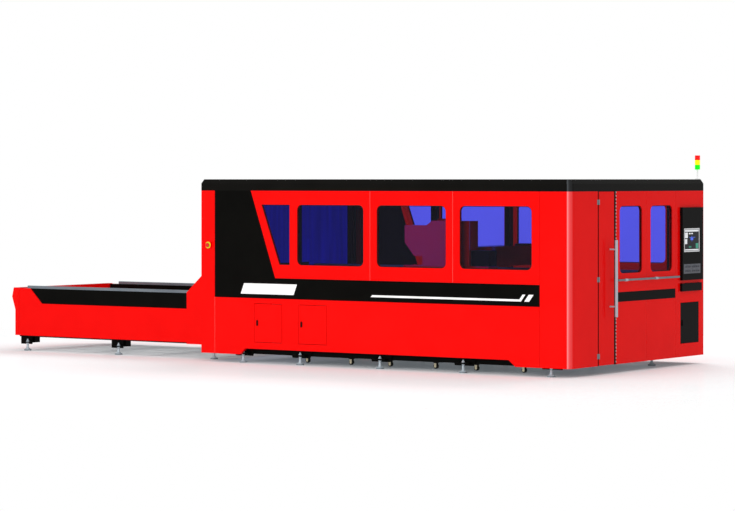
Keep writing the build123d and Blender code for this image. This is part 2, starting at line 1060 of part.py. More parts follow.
with BuildSketch(near_face) as far_skirt_face:
    skirt_outline()
with BuildSketch(near_face) as far_corner_face:
    outline(
        (along(band_end), skirt_bottom),
        (end_x - panel_depth - seam, skirt_bottom),
        (end_x - panel_depth - seam, roof_bottom),
        (along(band_end), roof_bottom),
    )
with BuildPart() as far_wall_panels:
    for panel in window_panels:
        mirror(panel, about=Plane.XZ)
    mirror(folded(far_skirt_face, panel_depth), about=Plane.XZ)
    mirror(folded(far_corner_face, panel_depth), about=Plane.XZ)
keep(far_wall_panels, "far_wall_panels")


# Rounded corner panel between the near wall and the side door
def corner_plan(inset, trim):
    outline(
        (along(band_end) + trim, near_y + inset),
        (end_x - inset, near_y + inset),
        (end_x - inset, across(hinge_gap_start) - trim),
        (end_x - panel_depth, across(hinge_gap_start) - trim),
        (end_x - panel_depth, near_y + panel_depth),
        (along(band_end) + trim, near_y + panel_depth),
    )


def rounded_corner(plan, inset):
    outer = plan.vertices().sort_by_distance((end_x - inset, near_y + inset))[0]
    fillet(outer, corner_radius - inset)
    inner = plan.vertices().sort_by_distance((end_x - panel_depth, near_y + panel_depth))[0]
    fillet(inner, corner_radius - panel_depth)


with BuildPart() as corner_panel:
    with BuildSketch(Plane.XY.offset(skirt_bottom)) as corner_outer:
        corner_plan(0, 0)
        rounded_corner(corner_outer, 0)
    extrude(amount=roof_bottom - skirt_bottom)
    with BuildSketch(Plane.XY.offset(skirt_bottom + sheet)) as corner_inner:
        corner_plan(sheet, sheet)
        rounded_corner(corner_inner, sheet)
    extrude(amount=roof_bottom - skirt_bottom - 2 * sheet, mode=Mode.SUBTRACT)
keep(corner_panel, "corner_panel")

# Window panels and panes of the operator's end
end_face = Plane.YZ.offset(end_x)
end_window_middle = (end_window_bottom + end_window_top) / 2
end_window_height = end_window_top - end_window_bottom
end_edges = (
    (end_panel_start, end_panel_seam - seam / 2),
    (end_panel_seam + seam / 2, console_panel_start - seam / 2),
)
end_window_places = (
    (end_panel_start + end_panel_seam) / 2 - end_window_shift,
    (end_panel_seam + console_panel_start) / 2 + end_window_shift,
)
end_panels = []
for place, (start, stop) in zip(end_window_places, end_edges):
    with BuildSketch(end_face) as end_panel_face:
        outline(
            (across(start), skirt_bottom),
            (across(stop), skirt_bottom),
            (across(stop), roof_bottom),
            (across(start), roof_bottom),
        )
        with Locations((across(place), end_window_middle)):
            RectangleRounded(end_window_width, end_window_height, window_radius, mode=Mode.SUBTRACT)
    end_panels.append(folded(end_panel_face, panel_depth))
with BuildPart() as end_window_panels:
    for panel in end_panels:
        add(panel)
keep(end_window_panels, "end_window_panels")

with BuildPart() as end_panes:
    with BuildSketch(Plane.YZ.offset(end_x - pane_set_back)):
        with Locations(*[(across(place), end_window_middle) for place in end_window_places]):
            RectangleRounded(
                end_window_width - 2 * running_gap,
                end_window_height - 2 * running_gap,
                window_radius - running_gap,
            )
    extrude(amount=-pane_thickness)
keep(end_panes, "end_window_panes")

# Panel behind the console: sheets round the drawer slot and the cabinet doorway, edge strips and hinge lugs
cabinet_door_middle = (cabinet_door_bottom + cabinet_door_top) / 2
cabinet_door_height = cabinet_door_top - cabinet_door_bottom
cabinet_door_centre = before((cabinet_door_start + cabinet_door_end) / 2)
cabinet_door_width = cabinet_door_start - cabinet_door_end
cabinet_pivot = before(cabinet_door_end) - pivot_inset
drawer_centre = before(drawer_start - drawer_width / 2)
drawer_middle = drawer_bottom + drawer_height / 2
slot_width = drawer_width - 2 * drawer_slot_margin
slot_height = drawer_height - 2 * drawer_slot_margin
console_edge_y = across(console_panel_start + seam / 2)
slot_y = (drawer_centre - slot_width / 2, drawer_centre + slot_width / 2)
slot_z = (drawer_middle - slot_height / 2, drawer_middle + slot_height / 2)
doorway_y = (before(cabinet_door_start) - door_gap, before(cabinet_door_end) + door_gap)
doorway_z = (cabinet_door_bottom - door_gap, cabinet_door_top + door_gap)
skin_x = (end_x - sheet, end_x)
console_pieces = [
    bar(*skin_x, console_edge_y, far_y, skirt_bottom, doorway_z[0]),
    bar(*skin_x, console_edge_y, doorway_y[0], *doorway_z),
    bar(*skin_x, doorway_y[1], far_y, *doorway_z),
    bar(*skin_x, console_edge_y, far_y, doorway_z[1], slot_z[0]),
    bar(*skin_x, console_edge_y, slot_y[0], *slot_z),
    bar(*skin_x, slot_y[1], far_y, *slot_z),
    bar(*skin_x, console_edge_y, far_y, slot_z[1], roof_bottom),
]
fold_x = (end_x - panel_depth, end_x - sheet)
console_pieces += [
    bar(*fold_x, console_edge_y, console_edge_y + sheet, skirt_bottom, roof_bottom),
    bar(*fold_x, far_y - sheet, far_y, skirt_bottom, roof_bottom),
    bar(*fold_x, console_edge_y + sheet, far_y - sheet, skirt_bottom, skirt_bottom + sheet),
    bar(*fold_x, console_edge_y + sheet, far_y - sheet, roof_bottom - sheet, roof_bottom),
]
for lug_z in (cabinet_door_bottom - door_gap - pivot_lug, cabinet_door_top + door_gap):
    with BuildPart() as lug:
        block(
            end_x - 2 * pivot_inset,
            end_x - sheet,
            cabinet_pivot - pivot_inset,
            cabinet_pivot + pivot_inset,
            lug_z,
            lug_z + pivot_lug,
        )
        with Locations((end_x - pivot_inset, cabinet_pivot, lug_z)):
            Cylinder(pivot_radius + fit, pivot_lug * 3, mode=Mode.SUBTRACT)
    console_pieces.append(lug.part)
keep_welded(console_pieces, "console_panel")

# Roof pan with its sloped rim and rounded near corner
roof_middle = (left_x + end_x) / 2
roof_slope = degrees(atan(roof_slope_inset / roof_slope_height))


def roof_form(inset, mode):
    with BuildSketch(Plane.XY.offset(roof_bottom)) as plan:
        with Locations((roof_middle, 0)):
            Rectangle(enclosure_length - 2 * inset, enclosure_width - 2 * inset)
        corner = plan.vertices().sort_by_distance((end_x, near_y))[0]
        fillet(corner, corner_radius - inset)
    rim_height = roof_top - roof_slope_height - roof_bottom
    extrude(plan.sketch, amount=rim_height, mode=mode)
    lid = plan.sketch.moved(Location((0, 0, rim_height)))
    extrude(lid, amount=roof_slope_height - inset, taper=roof_slope, mode=mode)


with BuildPart() as roof:
    roof_form(0, Mode.ADD)
    roof_form(sheet, Mode.SUBTRACT)
keep(roof, "roof")

# Table-side wall with the pallet mouth and the gate's guides
gate_x = left_x + panel_depth + gate_offset
gate_half = mouth_width / 2 + gate_overlap
mouth_face = Plane((left_x, 0, 0), x_dir=(0, -1, 0), z_dir=(-1, 0, 0))
with BuildSketch(mouth_face) as table_wall_face:
    outline(
        (-near_y - panel_depth, skirt_bottom),
        (-near_y - panel_depth, roof_bottom),
        (-far_y + panel_depth, roof_bottom),
        (-far_y + panel_depth, skirt_bottom),
    )
    with Locations((-work_y, (mouth_bottom + mouth_top) / 2)):
        Rectangle(mouth_width, mouth_top - mouth_bottom, mode=Mode.SUBTRACT)
with BuildPart() as table_wall:
    add(folded(table_wall_face, panel_depth))
    guide_x = left_x + panel_depth
    groove_x = gate_x - running_gap
    groove_end = gate_x + gate_thickness + running_gap
    guide_top = gate_bottom + gate_height + gate_travel
    for side in (-1, 1):
        inner = work_y + side * (gate_half - guide_groove)
        bottom = work_y + side * (gate_half + running_gap)
        outer = work_y + side * (gate_half + running_gap + guide_wall)
        y_ends = sorted((inner, outer))
        block(guide_x, groove_end + guide_wall, *y_ends, gate_bottom - guide_wall, guide_top)
        y_groove = sorted((inner, bottom))
        block(groove_x, groove_end, *y_groove, gate_bottom, guide_top, mode=Mode.SUBTRACT)
keep(table_wall, "table_side_wall")

with BuildPart() as pallet_gate:
    with BuildSketch(Plane.YZ.offset(gate_x)):
        with Locations((work_y, gate_bottom + gate_height / 2)):
            Rectangle(2 * gate_half, gate_height)
    extrude(amount=gate_thickness)
keep(pallet_gate, "pallet_gate")


# Small doors: folded sheet, pivot pins top and bottom, and a latch hole
def pivot_pins(x, y, bottom, top):
    length = door_gap + sheet + pivot_extra
    with Locations((x, y, top + length / 2), (x, y, bottom - length / 2)):
        Cylinder(pivot_radius, length)
    with Locations((x, y, (bottom + top) / 2)):
        Cylinder(pivot_radius, top - bottom)


latch_z = access_bottom + access_height / 2
for number, place in enumerate(access_places):
    door_left = along(place) - access_width / 2
    with BuildPart() as access_door:
        with BuildSketch(near_face) as access_rim:
            with Locations((along(place), access_middle)):
                Rectangle(access_width, access_height)
        add(folded(access_rim, small_door_depth))
        with Locations(Location((door_left + latch_inset, near_y, latch_z), (90, 0, 0))):
            Cylinder(latch_spindle + fit, small_door_depth, mode=Mode.SUBTRACT)
        pivot_pins(
            along(place) + access_width / 2 - pivot_inset,
            near_y + pivot_inset,
            access_bottom,
            access_top,
        )
    keep(access_door, f"access_door_{number + 1}")


# Latches: a rounded lever outside, a spindle through the door and a short cam inside
def latch(plane):
    with BuildSketch(plane.offset(running_gap)) as lever:
        SlotOverall(latch_height, latch_width, rotation=90)
    extrude(lever.sketch, amount=latch_thickness)
    with BuildSketch(plane.offset(running_gap)) as spindle:
        Circle(latch_spindle)
    extrude(spindle.sketch, amount=-latch_cam_depth)
    with BuildSketch(plane.offset(-latch_cam_depth + latch_cam_thickness)) as cam:
        with Locations((0, -latch_cam_length / 2)):
            Rectangle(latch_cam_width, latch_cam_length + latch_cam_width)
    extrude(cam.sketch, amount=-latch_cam_thickness)


for number, place in enumerate(access_places):
    latch_origin = (along(place) - access_width / 2 + latch_inset, near_y, latch_z)
    with BuildPart() as access_latch:
        latch(Plane(latch_origin, x_dir=(1, 0, 0), z_dir=(0, -1, 0)))
    keep(access_latch, f"access_latch_{number + 1}")

# Cabinet door below the console
cabinet_latch_y = before(cabinet_door_start) + latch_inset
with BuildSketch(end_face) as cabinet_rim:
    with Locations((cabinet_door_centre, cabinet_door_middle)):
        Rectangle(cabinet_door_width, cabinet_door_height)
with BuildPart() as cabinet_door:
    add(folded(cabinet_rim, small_door_depth))
    with Locations(Location((end_x, cabinet_latch_y, cabinet_door_middle), (0, 90, 0))):
        Cylinder(latch_spindle + fit, small_door_depth, mode=Mode.SUBTRACT)
    pivot_pins(end_x - pivot_inset, cabinet_pivot, cabinet_door_bottom, cabinet_door_top)
keep(cabinet_door, "cabinet_door")

with BuildPart() as cabinet_latch:
    latch(Plane((end_x, cabinet_latch_y, cabinet_door_middle), x_dir=(0, 1, 0), z_dir=(1, 0, 0)))
keep(cabinet_latch, "cabinet_latch")

# Side door and its butt hinges
hinge_y = across((hinge_gap_start + hinge_gap_end) / 2)
hinge_x = end_x + knuckle_radius
knuckle_height = hinge_height / 3
with BuildSketch(end_face) as side_door_face:
    outline(
        (across(hinge_gap_end), side_door_bottom),
        (across(side_door_end), side_door_bottom),
        (across(side_door_end), side_door_top),
        (across(hinge_gap_end), side_door_top),
    )


def knuckle(middle, height, radius, mode=Mode.ADD):
    with Locations((hinge_x, hinge_y, middle)):
        Cylinder(radius, height, mode=mode)


with BuildPart() as door_hinges:
    for middle in hinge_places:
        low, high = middle - hinge_height / 2, middle + hinge_height / 2
        block(end_x, end_x + hinge_leaf_thickness, hinge_y - hinge_leaf, hinge_y, low, high)
        knuckle(middle, hinge_height, knuckle_radius)
        knuckle(middle, knuckle_height, knuckle_radius + running_gap, Mode.SUBTRACT)
        knuckle(middle, hinge_height, hinge_pin_radius)
keep(door_hinges, "door_hinges")

with BuildPart() as side_door:
    add(folded(side_door_face, panel_depth))
    for middle in hinge_places:
        low, high = middle - hinge_height / 2, middle + hinge_height / 2
        block(end_x, end_x + hinge_leaf_thickness, hinge_y, hinge_y + hinge_leaf, low, high)
        for end in (-1, 1):
            knuckle(middle + end * knuckle_height, knuckle_height, knuckle_radius + running_gap, Mode.SUBTRACT)
        knuckle(middle, knuckle_height - 2 * running_gap, knuckle_radius)
        knuckle(middle, hinge_height, hinge_pin_radius + fit, Mode.SUBTRACT)
keep(side_door, "side_door")

# Tubular door handle and grab rail
with BuildPart() as door_handle:
    with Locations((end_x + handle_standoff, across(handle_place), (handle_bottom + handle_top) / 2)):
        Cylinder(handle_radius, handle_top - handle_bottom)
    chamfer(door_handle.edges().filter_by(GeomType.CIRCLE), handle_edge)
    for z in (handle_post_low, handle_post_high):
        with Locations(Location((end_x + handle_standoff / 2, across(handle_place), z), (0, 90, 0))):
            Cylinder(handle_post_radius, handle_standoff)
keep(door_handle, "door_handle")

with BuildPart() as grab_rail:
    rail_middle = across((rail_start + rail_end) / 2)
    with Locations(Location((end_x + rail_standoff, rail_middle, rail_height), (90, 0, 0))):
        Cylinder(rail_radius, rail_end - rail_start)
    chamfer(grab_rail.edges().filter_by(GeomType.CIRCLE), handle_edge)
    for share in rail_post_shares:
        place = rail_start + share * (rail_end - rail_start)
        with Locations(Location((end_x + rail_standoff / 2, across(place), rail_height), (0, 90, 0))):
            Cylinder(rail_post_radius, rail_standoff)
keep(grab_rail, "grab_rail")

# Console housing with pockets for the monitor and the key panel
monitor_y0 = before(monitor_start)
key_y0 = before(key_panel_start)
with BuildPart() as console_housing:
    block(end_x, end_x + console_depth, before(console_start), before(console_end), console_bottom, console_top)
    fillet(console_housing.faces().sort_by(Axis.X)[-1].edges(), console_edge)
    block(
        end_x + console_depth - monitor_depth,
        end_x + console_depth + overrun,
        monitor_y0,
        monitor_y0 + monitor_width,
        monitor_bottom,
        monitor_bottom + monitor_height,
        mode=Mode.SUBTRACT,
    )
    block(
        end_x + console_depth - key_panel_depth,
        end_x + console_depth + overrun,
        key_y0,
        key_y0 + key_panel_width,
        key_panel_bottom,
        key_panel_bottom + key_panel_height,
        mode=Mode.SUBTRACT,
    )
keep(console_housing, "console_housing")

with BuildPart() as monitor:
    monitor_back = end_x + console_depth - monitor_depth
    block(
        monitor_back,
        end_x + console_depth,
        monitor_y0 + running_gap,
        monitor_y0 + monitor_width - running_gap,
        monitor_bottom + running_gap,
        monitor_bottom + monitor_height - running_gap,
    )
    block(
        end_x + console_depth - monitor_recess,
        end_x + console_depth + overrun,
        monitor_y0 + monitor_bezel,
        monitor_y0 + monitor_width - monitor_bezel,
        monitor_bottom + monitor_bezel,
        monitor_bottom + monitor_height - monitor_bezel,
        mode=Mode.SUBTRACT,
    )
keep(monitor, "monitor")

# Key panel with two groups of round keys in two rows
with BuildPart() as key_panel:
    key_front = end_x + console_depth
    block(
        key_front - key_panel_depth,
        key_front,
        key_y0 + running_gap,
        key_y0 + key_panel_width - running_gap,
        key_panel_bottom + running_gap,
        key_panel_bottom + key_panel_height - running_gap,
    )
    key_row_length = (sum(key_groups) - 1) * key_pitch + key_group_gap
    key_first = key_y0 + (key_panel_width - key_row_length) / 2
    key_places = []
    for column_number in range(sum(key_groups)):
        group_shift = key_group_gap if column_number >= key_groups[0] else 0
        for row in (-1, 1):
            key_y = key_first + column_number * key_pitch + group_shift
            key_places.append((key_y, key_panel_bottom + key_panel_height / 2 + row * key_rows_pitch / 2))
    with BuildSketch(Plane.YZ.offset(key_front)):
        with Locations(*key_places):
            Circle(key_radius)
    extrude(amount=key_height)
keep(key_panel, "key_panel")

# Keyboard drawer: front, tray and keyboard
tray_bottom = drawer_bottom + drawer_slot_margin + runner_height + running_gap
tray_start = before(drawer_start) + drawer_slot_margin + tray_side_gap
tray_end = before(drawer_start - drawer_width) - drawer_slot_margin - tray_side_gap
with BuildPart() as keyboard:
    keyboard_x = end_x - panel_depth - keyboard_width / 2 - drawer_slot_margin
    block(
        keyboard_x - keyboard_width / 2,
        keyboard_x + keyboard_width / 2,
        drawer_centre - keyboard_length / 2,
        drawer_centre + keyboard_length / 2,
        tray_bottom + tray_thickness,
        tray_bottom + tray_thickness + keyboard_height,
    )
    fillet(keyboard.edges().filter_by(Axis.Z), console_edge)

with BuildPart() as keyboard_drawer:
    block(
        end_x + running_gap,
        end_x + drawer_front,
        before(drawer_start),
        before(drawer_start - drawer_width),
        drawer_bottom,
        drawer_bottom + drawer_height,
    )
    fillet(keyboard_drawer.faces().sort_by(Axis.X)[-1].edges(), console_edge)
    block(
        end_x - tray_depth,
        end_x + running_gap,
        tray_start,
        tray_end,
        tray_bottom,
        tray_bottom + tray_thickness,
    )
    add(keyboard.part)
keep(keyboard_drawer, "keyboard_drawer")

# Control cabinet behind the console: open-fronted box of welded plates with the drawer's runners
cabinet_x = (end_x - cabinet_depth, end_x - panel_depth)
cabinet_bottom = tube_low + frame_tube
cabinet_near = before(cabinet_start)
cabinet_far = before(cabinet_end)
cabinet_inside = (cabinet_near + sheet, cabinet_far - sheet)
behind = (cabinet_x[0] + sheet, cabinet_x[1])
runner_top = tray_bottom - running_gap
cabinet_pieces = [
    bar(cabinet_x[0], behind[0], cabinet_near, cabinet_far, cabinet_bottom, cabinet_top),
    bar(*behind, cabinet_near, cabinet_inside[0], cabinet_bottom, cabinet_top),
    bar(*behind, cabinet_inside[1], cabinet_far, cabinet_bottom, cabinet_top),
    bar(*behind, *cabinet_inside, cabinet_bottom, cabinet_bottom + sheet),
    bar(*behind, *cabinet_inside, cabinet_top - sheet, cabinet_top),
    bar(*behind, cabinet_inside[0], tray_start + runner_width, runner_top - runner_height, runner_top),
    bar(*behind, tray_end - runner_width, cabinet_inside[1], runner_top - runner_height, runner_top),
]
keep_welded(cabinet_pieces, "control_cabinet")

# Emergency stop: square plate with a mushroom button that slides in it
stop_x = left_x + stop_inset
stop_front = near_y - stop_plate_depth
with BuildPart() as stop_base:
    block(
        stop_x - stop_plate / 2,
        stop_x + stop_plate / 2,
        stop_front,
        near_y,
        stop_height - stop_plate / 2,
        stop_height + stop_plate / 2,
    )
    fillet(stop_base.edges().filter_by(Axis.Y), stop_plate_edge)
    with Locations(Location((stop_x, stop_front, stop_height), (90, 0, 0))):
        Cylinder(stop_stem_radius + fit, stop_plate_depth, mode=Mode.SUBTRACT)
keep(stop_base, "stop_plate")

with BuildPart() as stop_button:
    head_start = stop_front - stop_travel - stop_head_gap
    with BuildSketch(side_view(head_start)):
        with Locations((stop_x, stop_height)):
            Circle(stop_head_radius)
    extrude(amount=stop_head_depth)
    chamfer(stop_button.faces().sort_by(Axis.Y)[0].edges(), stop_plate_edge)
    with BuildSketch(side_view(head_start)):
        with Locations((stop_x, stop_height)):
            Circle(stop_stem_radius)
    extrude(amount=-(stop_travel + stop_head_gap + stop_plate_edge))
keep(stop_button, "stop_button")

# Signal tower: pole and three lenses
tower_x = end_x - tower_inset_x
tower_y = far_y - tower_inset_y
with BuildPart() as tower_pole:
    with Locations((tower_x, tower_y, roof_top + tower_base_height / 2)):
        Cylinder(tower_base_radius, tower_base_height)
    with Locations((tower_x, tower_y, (roof_top + tower_pole_top) / 2)):
        Cylinder(tower_pole_radius, tower_pole_top - roof_top)
keep(tower_pole, "tower_pole")

for number, colour in enumerate(("green", "yellow", "red")):
    lens_z = tower_pole_top + (number + 1 / 2) * tower_lens_height
    with BuildPart() as tower_lens:
        with Locations((tower_x, tower_y, lens_z)):
            Cylinder(tower_lens_radius, tower_lens_height)
        chamfer(tower_lens.edges().filter_by(GeomType.CIRCLE), tower_lens_edge)
    keep(tower_lens, f"tower_lens_{colour}")

# Power cabinet in the far bay
with BuildPart() as power_cabinet:
    power_z = tube_low + frame_tube
    power_y = work_y + bed_half + power_bed_gap
    block(
        along(power_left),
        along(power_right),
        power_y,
        far_tube - power_wall_gap,
        power_z,
        power_z + power_height,
    )
    fillet(power_cabinet.edges().filter_by(Axis.Z), power_edge)
    with BuildSketch(side_view(power_y)):
        with Locations((along((power_left + power_right) / 2), power_z + power_height / 2)):
            Rectangle(power_door_gap, power_height - 2 * power_edge)
    extrude(amount=-power_door_depth, mode=Mode.SUBTRACT)
keep(power_cabinet, "power_cabinet")

# Gantry: saddles on guide blocks, the beam between them and its cross rails
saddle_bottom = bed_top + block_height
saddle_top = saddle_bottom + saddle_thickness
beam_x = along(beam_left)
gantry_rail_half = bed_half - bed_beam / 2
saddle_x = (along(saddle_left), along(saddle_right))
with BuildPart() as gantry_beam:
    for side in (-1, 1):
        saddle_y = work_y + side * gantry_rail_half
        block(*saddle_x, saddle_y - saddle_width / 2, saddle_y + saddle_width / 2, saddle_bottom, saddle_top)
        for start in (saddle_x[0], saddle_x[1] - block_length):
            block(
                start,
                start + block_length,
                saddle_y - block_width / 2,
                saddle_y + block_width / 2,
                bed_top + running_gap,
                saddle_bottom,
            )
            block(
                start,
                start + block_length,
                saddle_y - rail_width / 2 - running_gap,
                saddle_y + rail_width / 2 + running_gap,
                bed_top,
                bed_top + rail_thickness + running_gap,
                mode=Mode.SUBTRACT,
            )
    block(
        beam_x,
        beam_x + beam_width,
        work_y - bed_half + beam_end_gap,
        work_y + bed_half - beam_end_gap,
        saddle_bottom,
        saddle_bottom + beam_height,
    )
    for lift in (cross_rail_low, cross_rail_high):
        block(
            beam_x - cross_rail_reach,
            beam_x,
            work_y - bed_inner_half,
            work_y + bed_inner_half,
            saddle_top + lift,
            saddle_top + lift + cross_rail,
        )
keep(gantry_beam, "gantry_beam")

# Red stepped hood over the near end of the beam
hood_outer = work_y - gantry_rail_half - saddle_width / 2


def hood_outline(inset):
    left = along(hood_left) + inset
    right = along(hood_right) - inset
    top = saddle_top + hood_height - inset
    outline(
        (left + hood_foot, saddle_top),
        (right, saddle_top),
        (right, top),
        (left + hood_step_end, top),
        (left + hood_step_start, saddle_top + hood_low_height - inset),
        (left, saddle_top + hood_low_height - inset),
        (left, saddle_top + hood_cheek_height + inset),
        (left + hood_sill, saddle_top + hood_sill_height + inset),
        (left + hood_foot, saddle_top + hood_sill_height + inset),
    )


with BuildPart() as gantry_hood:
    with BuildSketch(side_view(hood_outer)):
        hood_outline(0)
    extrude(amount=-hood_width)
    with BuildSketch(side_view(hood_outer + sheet)):
        hood_outline(sheet)
    extrude(amount=-hood_width, mode=Mode.SUBTRACT)


# Low cover over the far end of the beam
far_hood_inner = work_y + gantry_rail_half + saddle_width / 2 - hood_width


def far_hood_outline(inset):
    left = along(hood_left) + hood_foot + inset
    right = along(hood_right) - inset
    top = saddle_top + far_hood_height - inset
    outline(
        (left, saddle_top),
        (right, saddle_top),
        (right, top),
        (left + far_hood_slope, top),
        (left, top - far_hood_slope),
    )


with BuildPart() as far_hood:
    with BuildSketch(side_view(far_hood_inner)):
        far_hood_outline(0)
    extrude(amount=-hood_width)
    with BuildSketch(side_view(far_hood_inner - sheet)):
        far_hood_outline(sheet)
    extrude(amount=-hood_width, mode=Mode.SUBTRACT)
with BuildPart() as gantry_hoods:
    add(gantry_hood.part)
    add(far_hood.part)
keep(gantry_hoods, "gantry_hoods")

# Drive units on the saddles
with BuildPart() as gantry_drives:
    for side in (-1, 1):
        drive_y = work_y + side * gantry_rail_half
        block(
            along(saddle_right) - drive_width,
            along(saddle_right),
            drive_y - drive_depth / 2,
            drive_y + drive_depth / 2,
            saddle_top,
            saddle_top + drive_height,
        )
    chamfer(gantry_drives.edges().filter_by(Axis.Z), drive_edge)
keep(gantry_drives, "gantry_drives")

# Head carriage: plate with grooves for the cross rails and for the lifting slide
head_y = work_y + carriage_rest
carriage_back = beam_x - carriage_clear
carriage_front = carriage_back - carriage_thickness
carriage_bottom = saddle_top + carriage_lift
with BuildPart() as head_carriage:
    block(
        carriage_front,
        carriage_back,
        head_y - carriage_half,
        head_y + carriage_half,
        carriage_bottom,
        carriage_bottom + carriage_height,
    )
    for lift in (cross_rail_low, cross_rail_high):
        block(
            beam_x - cross_rail_reach - running_gap,
            carriage_back,
            head_y - carriage_half,
            head_y + carriage_half,
            saddle_top + lift - running_gap,
            saddle_top + lift + cross_rail + running_gap,
            mode=Mode.SUBTRACT,
        )
    block(
        carriage_front,
        carriage_front + key_depth + running_gap,
        head_y - key_half - running_gap,
        head_y + key_half + running_gap,
        carriage_bottom,
        carriage_bottom + carriage_height,
        mode=Mode.SUBTRACT,
    )
    motor_z = carriage_bottom + carriage_height + z_motor_height / 2
    with Locations(((carriage_front + carriage_back) / 2, head_y + carriage_half / 2, motor_z)):
        Cylinder(carriage_thickness / 2, z_motor_height)
keep(head_carriage, "head_carriage")


# Red cover over the carriage, open below and towards the beam
def cover_outline(inset):
    front = carriage_front - cover_reach + inset
    bottom = saddle_top
    cover_back = beam_x - cross_rail_reach - carriage_clear
    top = bottom + cover_height - inset
    outline(
        (cover_back, bottom),
        (cover_back, top),
        (front + cover_slope, top),
        (front, top - cover_slope_height),
        (front, bottom),
    )


with BuildPart() as carriage_cover:
    with BuildSketch(side_view(head_y - carriage_half - sheet)):
        cover_outline(0)
    extrude(amount=-2 * (carriage_half + sheet))
    with BuildSketch(side_view(head_y - carriage_half)):
        cover_outline(sheet)
    extrude(amount=-2 * carriage_half, mode=Mode.SUBTRACT)
keep(carriage_cover, "carriage_cover")

# Lifting slide with its guide key
slide_bottom = carriage_bottom - slide_drop
with BuildPart() as head_slide:
    block(
        carriage_front - running_gap - slide_thickness,
        carriage_front - running_gap,
        head_y - slide_half,
        head_y + slide_half,
        slide_bottom,
        slide_bottom + slide_height,
    )
    block(
        carriage_front - running_gap,
        carriage_front + key_depth,
        head_y - key_half,
        head_y + key_half,
        slide_bottom,
        slide_bottom + slide_height,
    )
keep(head_slide, "head_slide")

# Cutting head: square body with a stepped cone and nozzle below and a collimator above
head_x = carriage_front - running_gap - slide_thickness - head_half
with BuildPart() as cutting_head:
    block(
        head_x - head_half,
        head_x + head_half,
        head_y - head_half,
        head_y + head_half,
        head_body_bottom,
        head_body_top,
    )
    fillet(cutting_head.edges().filter_by(Axis.Z), head_edge)
    with BuildSketch(Plane.XZ.offset(-head_y)):
        outline(
            (head_x, head_tip),
            (head_x + head_tip_radius, head_tip),
            (head_x + head_cone_radius, head_cone_bottom),
            (head_x + head_neck_radius, head_cone_bottom),
            (head_x + head_ring_radius, head_ring_bottom),
            (head_x + head_ring_radius, head_body_bottom),
            (head_x, head_body_bottom),
        )
        outline(
            (head_x, head_body_top),
            (head_x + head_top_radius, head_body_top),
            (head_x + head_neck_radius, head_top),
            (head_x, head_top),
        )
    revolve(axis=Axis((head_x, head_y, 0), (0, 0, 1)))
keep(cutting_head, "cutting_head")
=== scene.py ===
import math

import bmesh
import bpy
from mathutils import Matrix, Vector


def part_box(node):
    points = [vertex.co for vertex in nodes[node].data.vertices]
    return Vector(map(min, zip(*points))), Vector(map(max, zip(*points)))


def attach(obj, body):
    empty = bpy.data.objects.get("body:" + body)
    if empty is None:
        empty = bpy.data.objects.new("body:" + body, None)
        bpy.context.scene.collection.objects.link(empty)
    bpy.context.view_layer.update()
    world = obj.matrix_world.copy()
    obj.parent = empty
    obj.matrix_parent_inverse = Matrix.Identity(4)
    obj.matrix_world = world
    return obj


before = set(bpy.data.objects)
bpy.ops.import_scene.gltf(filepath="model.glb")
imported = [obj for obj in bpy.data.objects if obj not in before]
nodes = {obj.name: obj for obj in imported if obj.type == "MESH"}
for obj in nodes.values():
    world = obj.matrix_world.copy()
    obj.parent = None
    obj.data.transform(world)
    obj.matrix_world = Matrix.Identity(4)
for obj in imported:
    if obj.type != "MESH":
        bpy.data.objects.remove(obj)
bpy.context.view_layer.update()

# Places of the walls and their edges, from the frame, in metres
END_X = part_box("end_window_panels")[1].x
LEFT_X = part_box("corner_columns")[0].x
NEAR_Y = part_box("corner_columns")[0].y
FAR_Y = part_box("corner_columns")[1].y
SKIRT_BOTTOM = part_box("corner_columns")[0].z
ROOF_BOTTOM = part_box("corner_columns")[1].z
COLUMN_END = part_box("corner_columns")[1].x
BAND_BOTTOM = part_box("dark_bands")[0].z
WINDOW_PANEL_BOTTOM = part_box("near_window_panels")[0].z
BED_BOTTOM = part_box("bed_frame")[0].z
LEG_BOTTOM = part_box("table_frame")[0].z

# Faces further than this from a wall's own plane aren't part of it
SURFACE_STEP = 0.0005

# Bare plate and plain stripe on the dark band, as distances from the operator's end and heights
FILM = 0.0008
FILM_ROOT = 0.0002
PLATE_SPAN = (4.576, 3.790)
PLATE_HEIGHTS = (0.830, 0.956)
PLATE_SLANT = 0.050
STRIPE_START = 2.680
STRIPE_TURN = 0.636
STRIPE_HEIGHTS = (0.834, 0.912)
STRIPE_THICKNESS = 0.023
STRIPE_SLANT = 0.058
STRIPE_TIP = 0.037
DASH_SPAN = (0.592, 0.529)

# Film on the end wall, as distances from the near wall and heights
END_FILM_SPAN = (1.031, 2.424)
END_FILM_HEIGHTS = (0.806, 0.916)

# Seals, seams with painted highlight strips, and clips of the door post
SEAL_GAP = 0.0004
SEAL_WIDTH = 0.009
SEAL_DEPTHS = (-0.0138, -0.009)
SEAM_WIDTH = 0.003
SEAM_DEPTHS = (-0.006, -0.0015)
CLIP_SPAN = (1.0215, 1.0262)
CLIP_DEPTHS = (-0.0041, -0.0008)
CLIP_PITCH = 0.040
CLIP_HEIGHT = 0.021

# Console: screen and key caps
SCREEN_BEZEL = 0.014
SCREEN_RECESS = 0.003
SCREEN_THICKNESS = 0.0012
FIELD_THICKNESS = 0.0004
KEY_PITCH = 0.048
KEY_GROUP_GAP = 0.026
KEY_ROWS_PITCH = 0.050
KEY_GROUPS = (3, 4)
CAP_RADIUS = 0.0088
CAP_HEIGHT = 0.0018
CAP_BEVEL = 0.0008
CAP_STEPS = 20

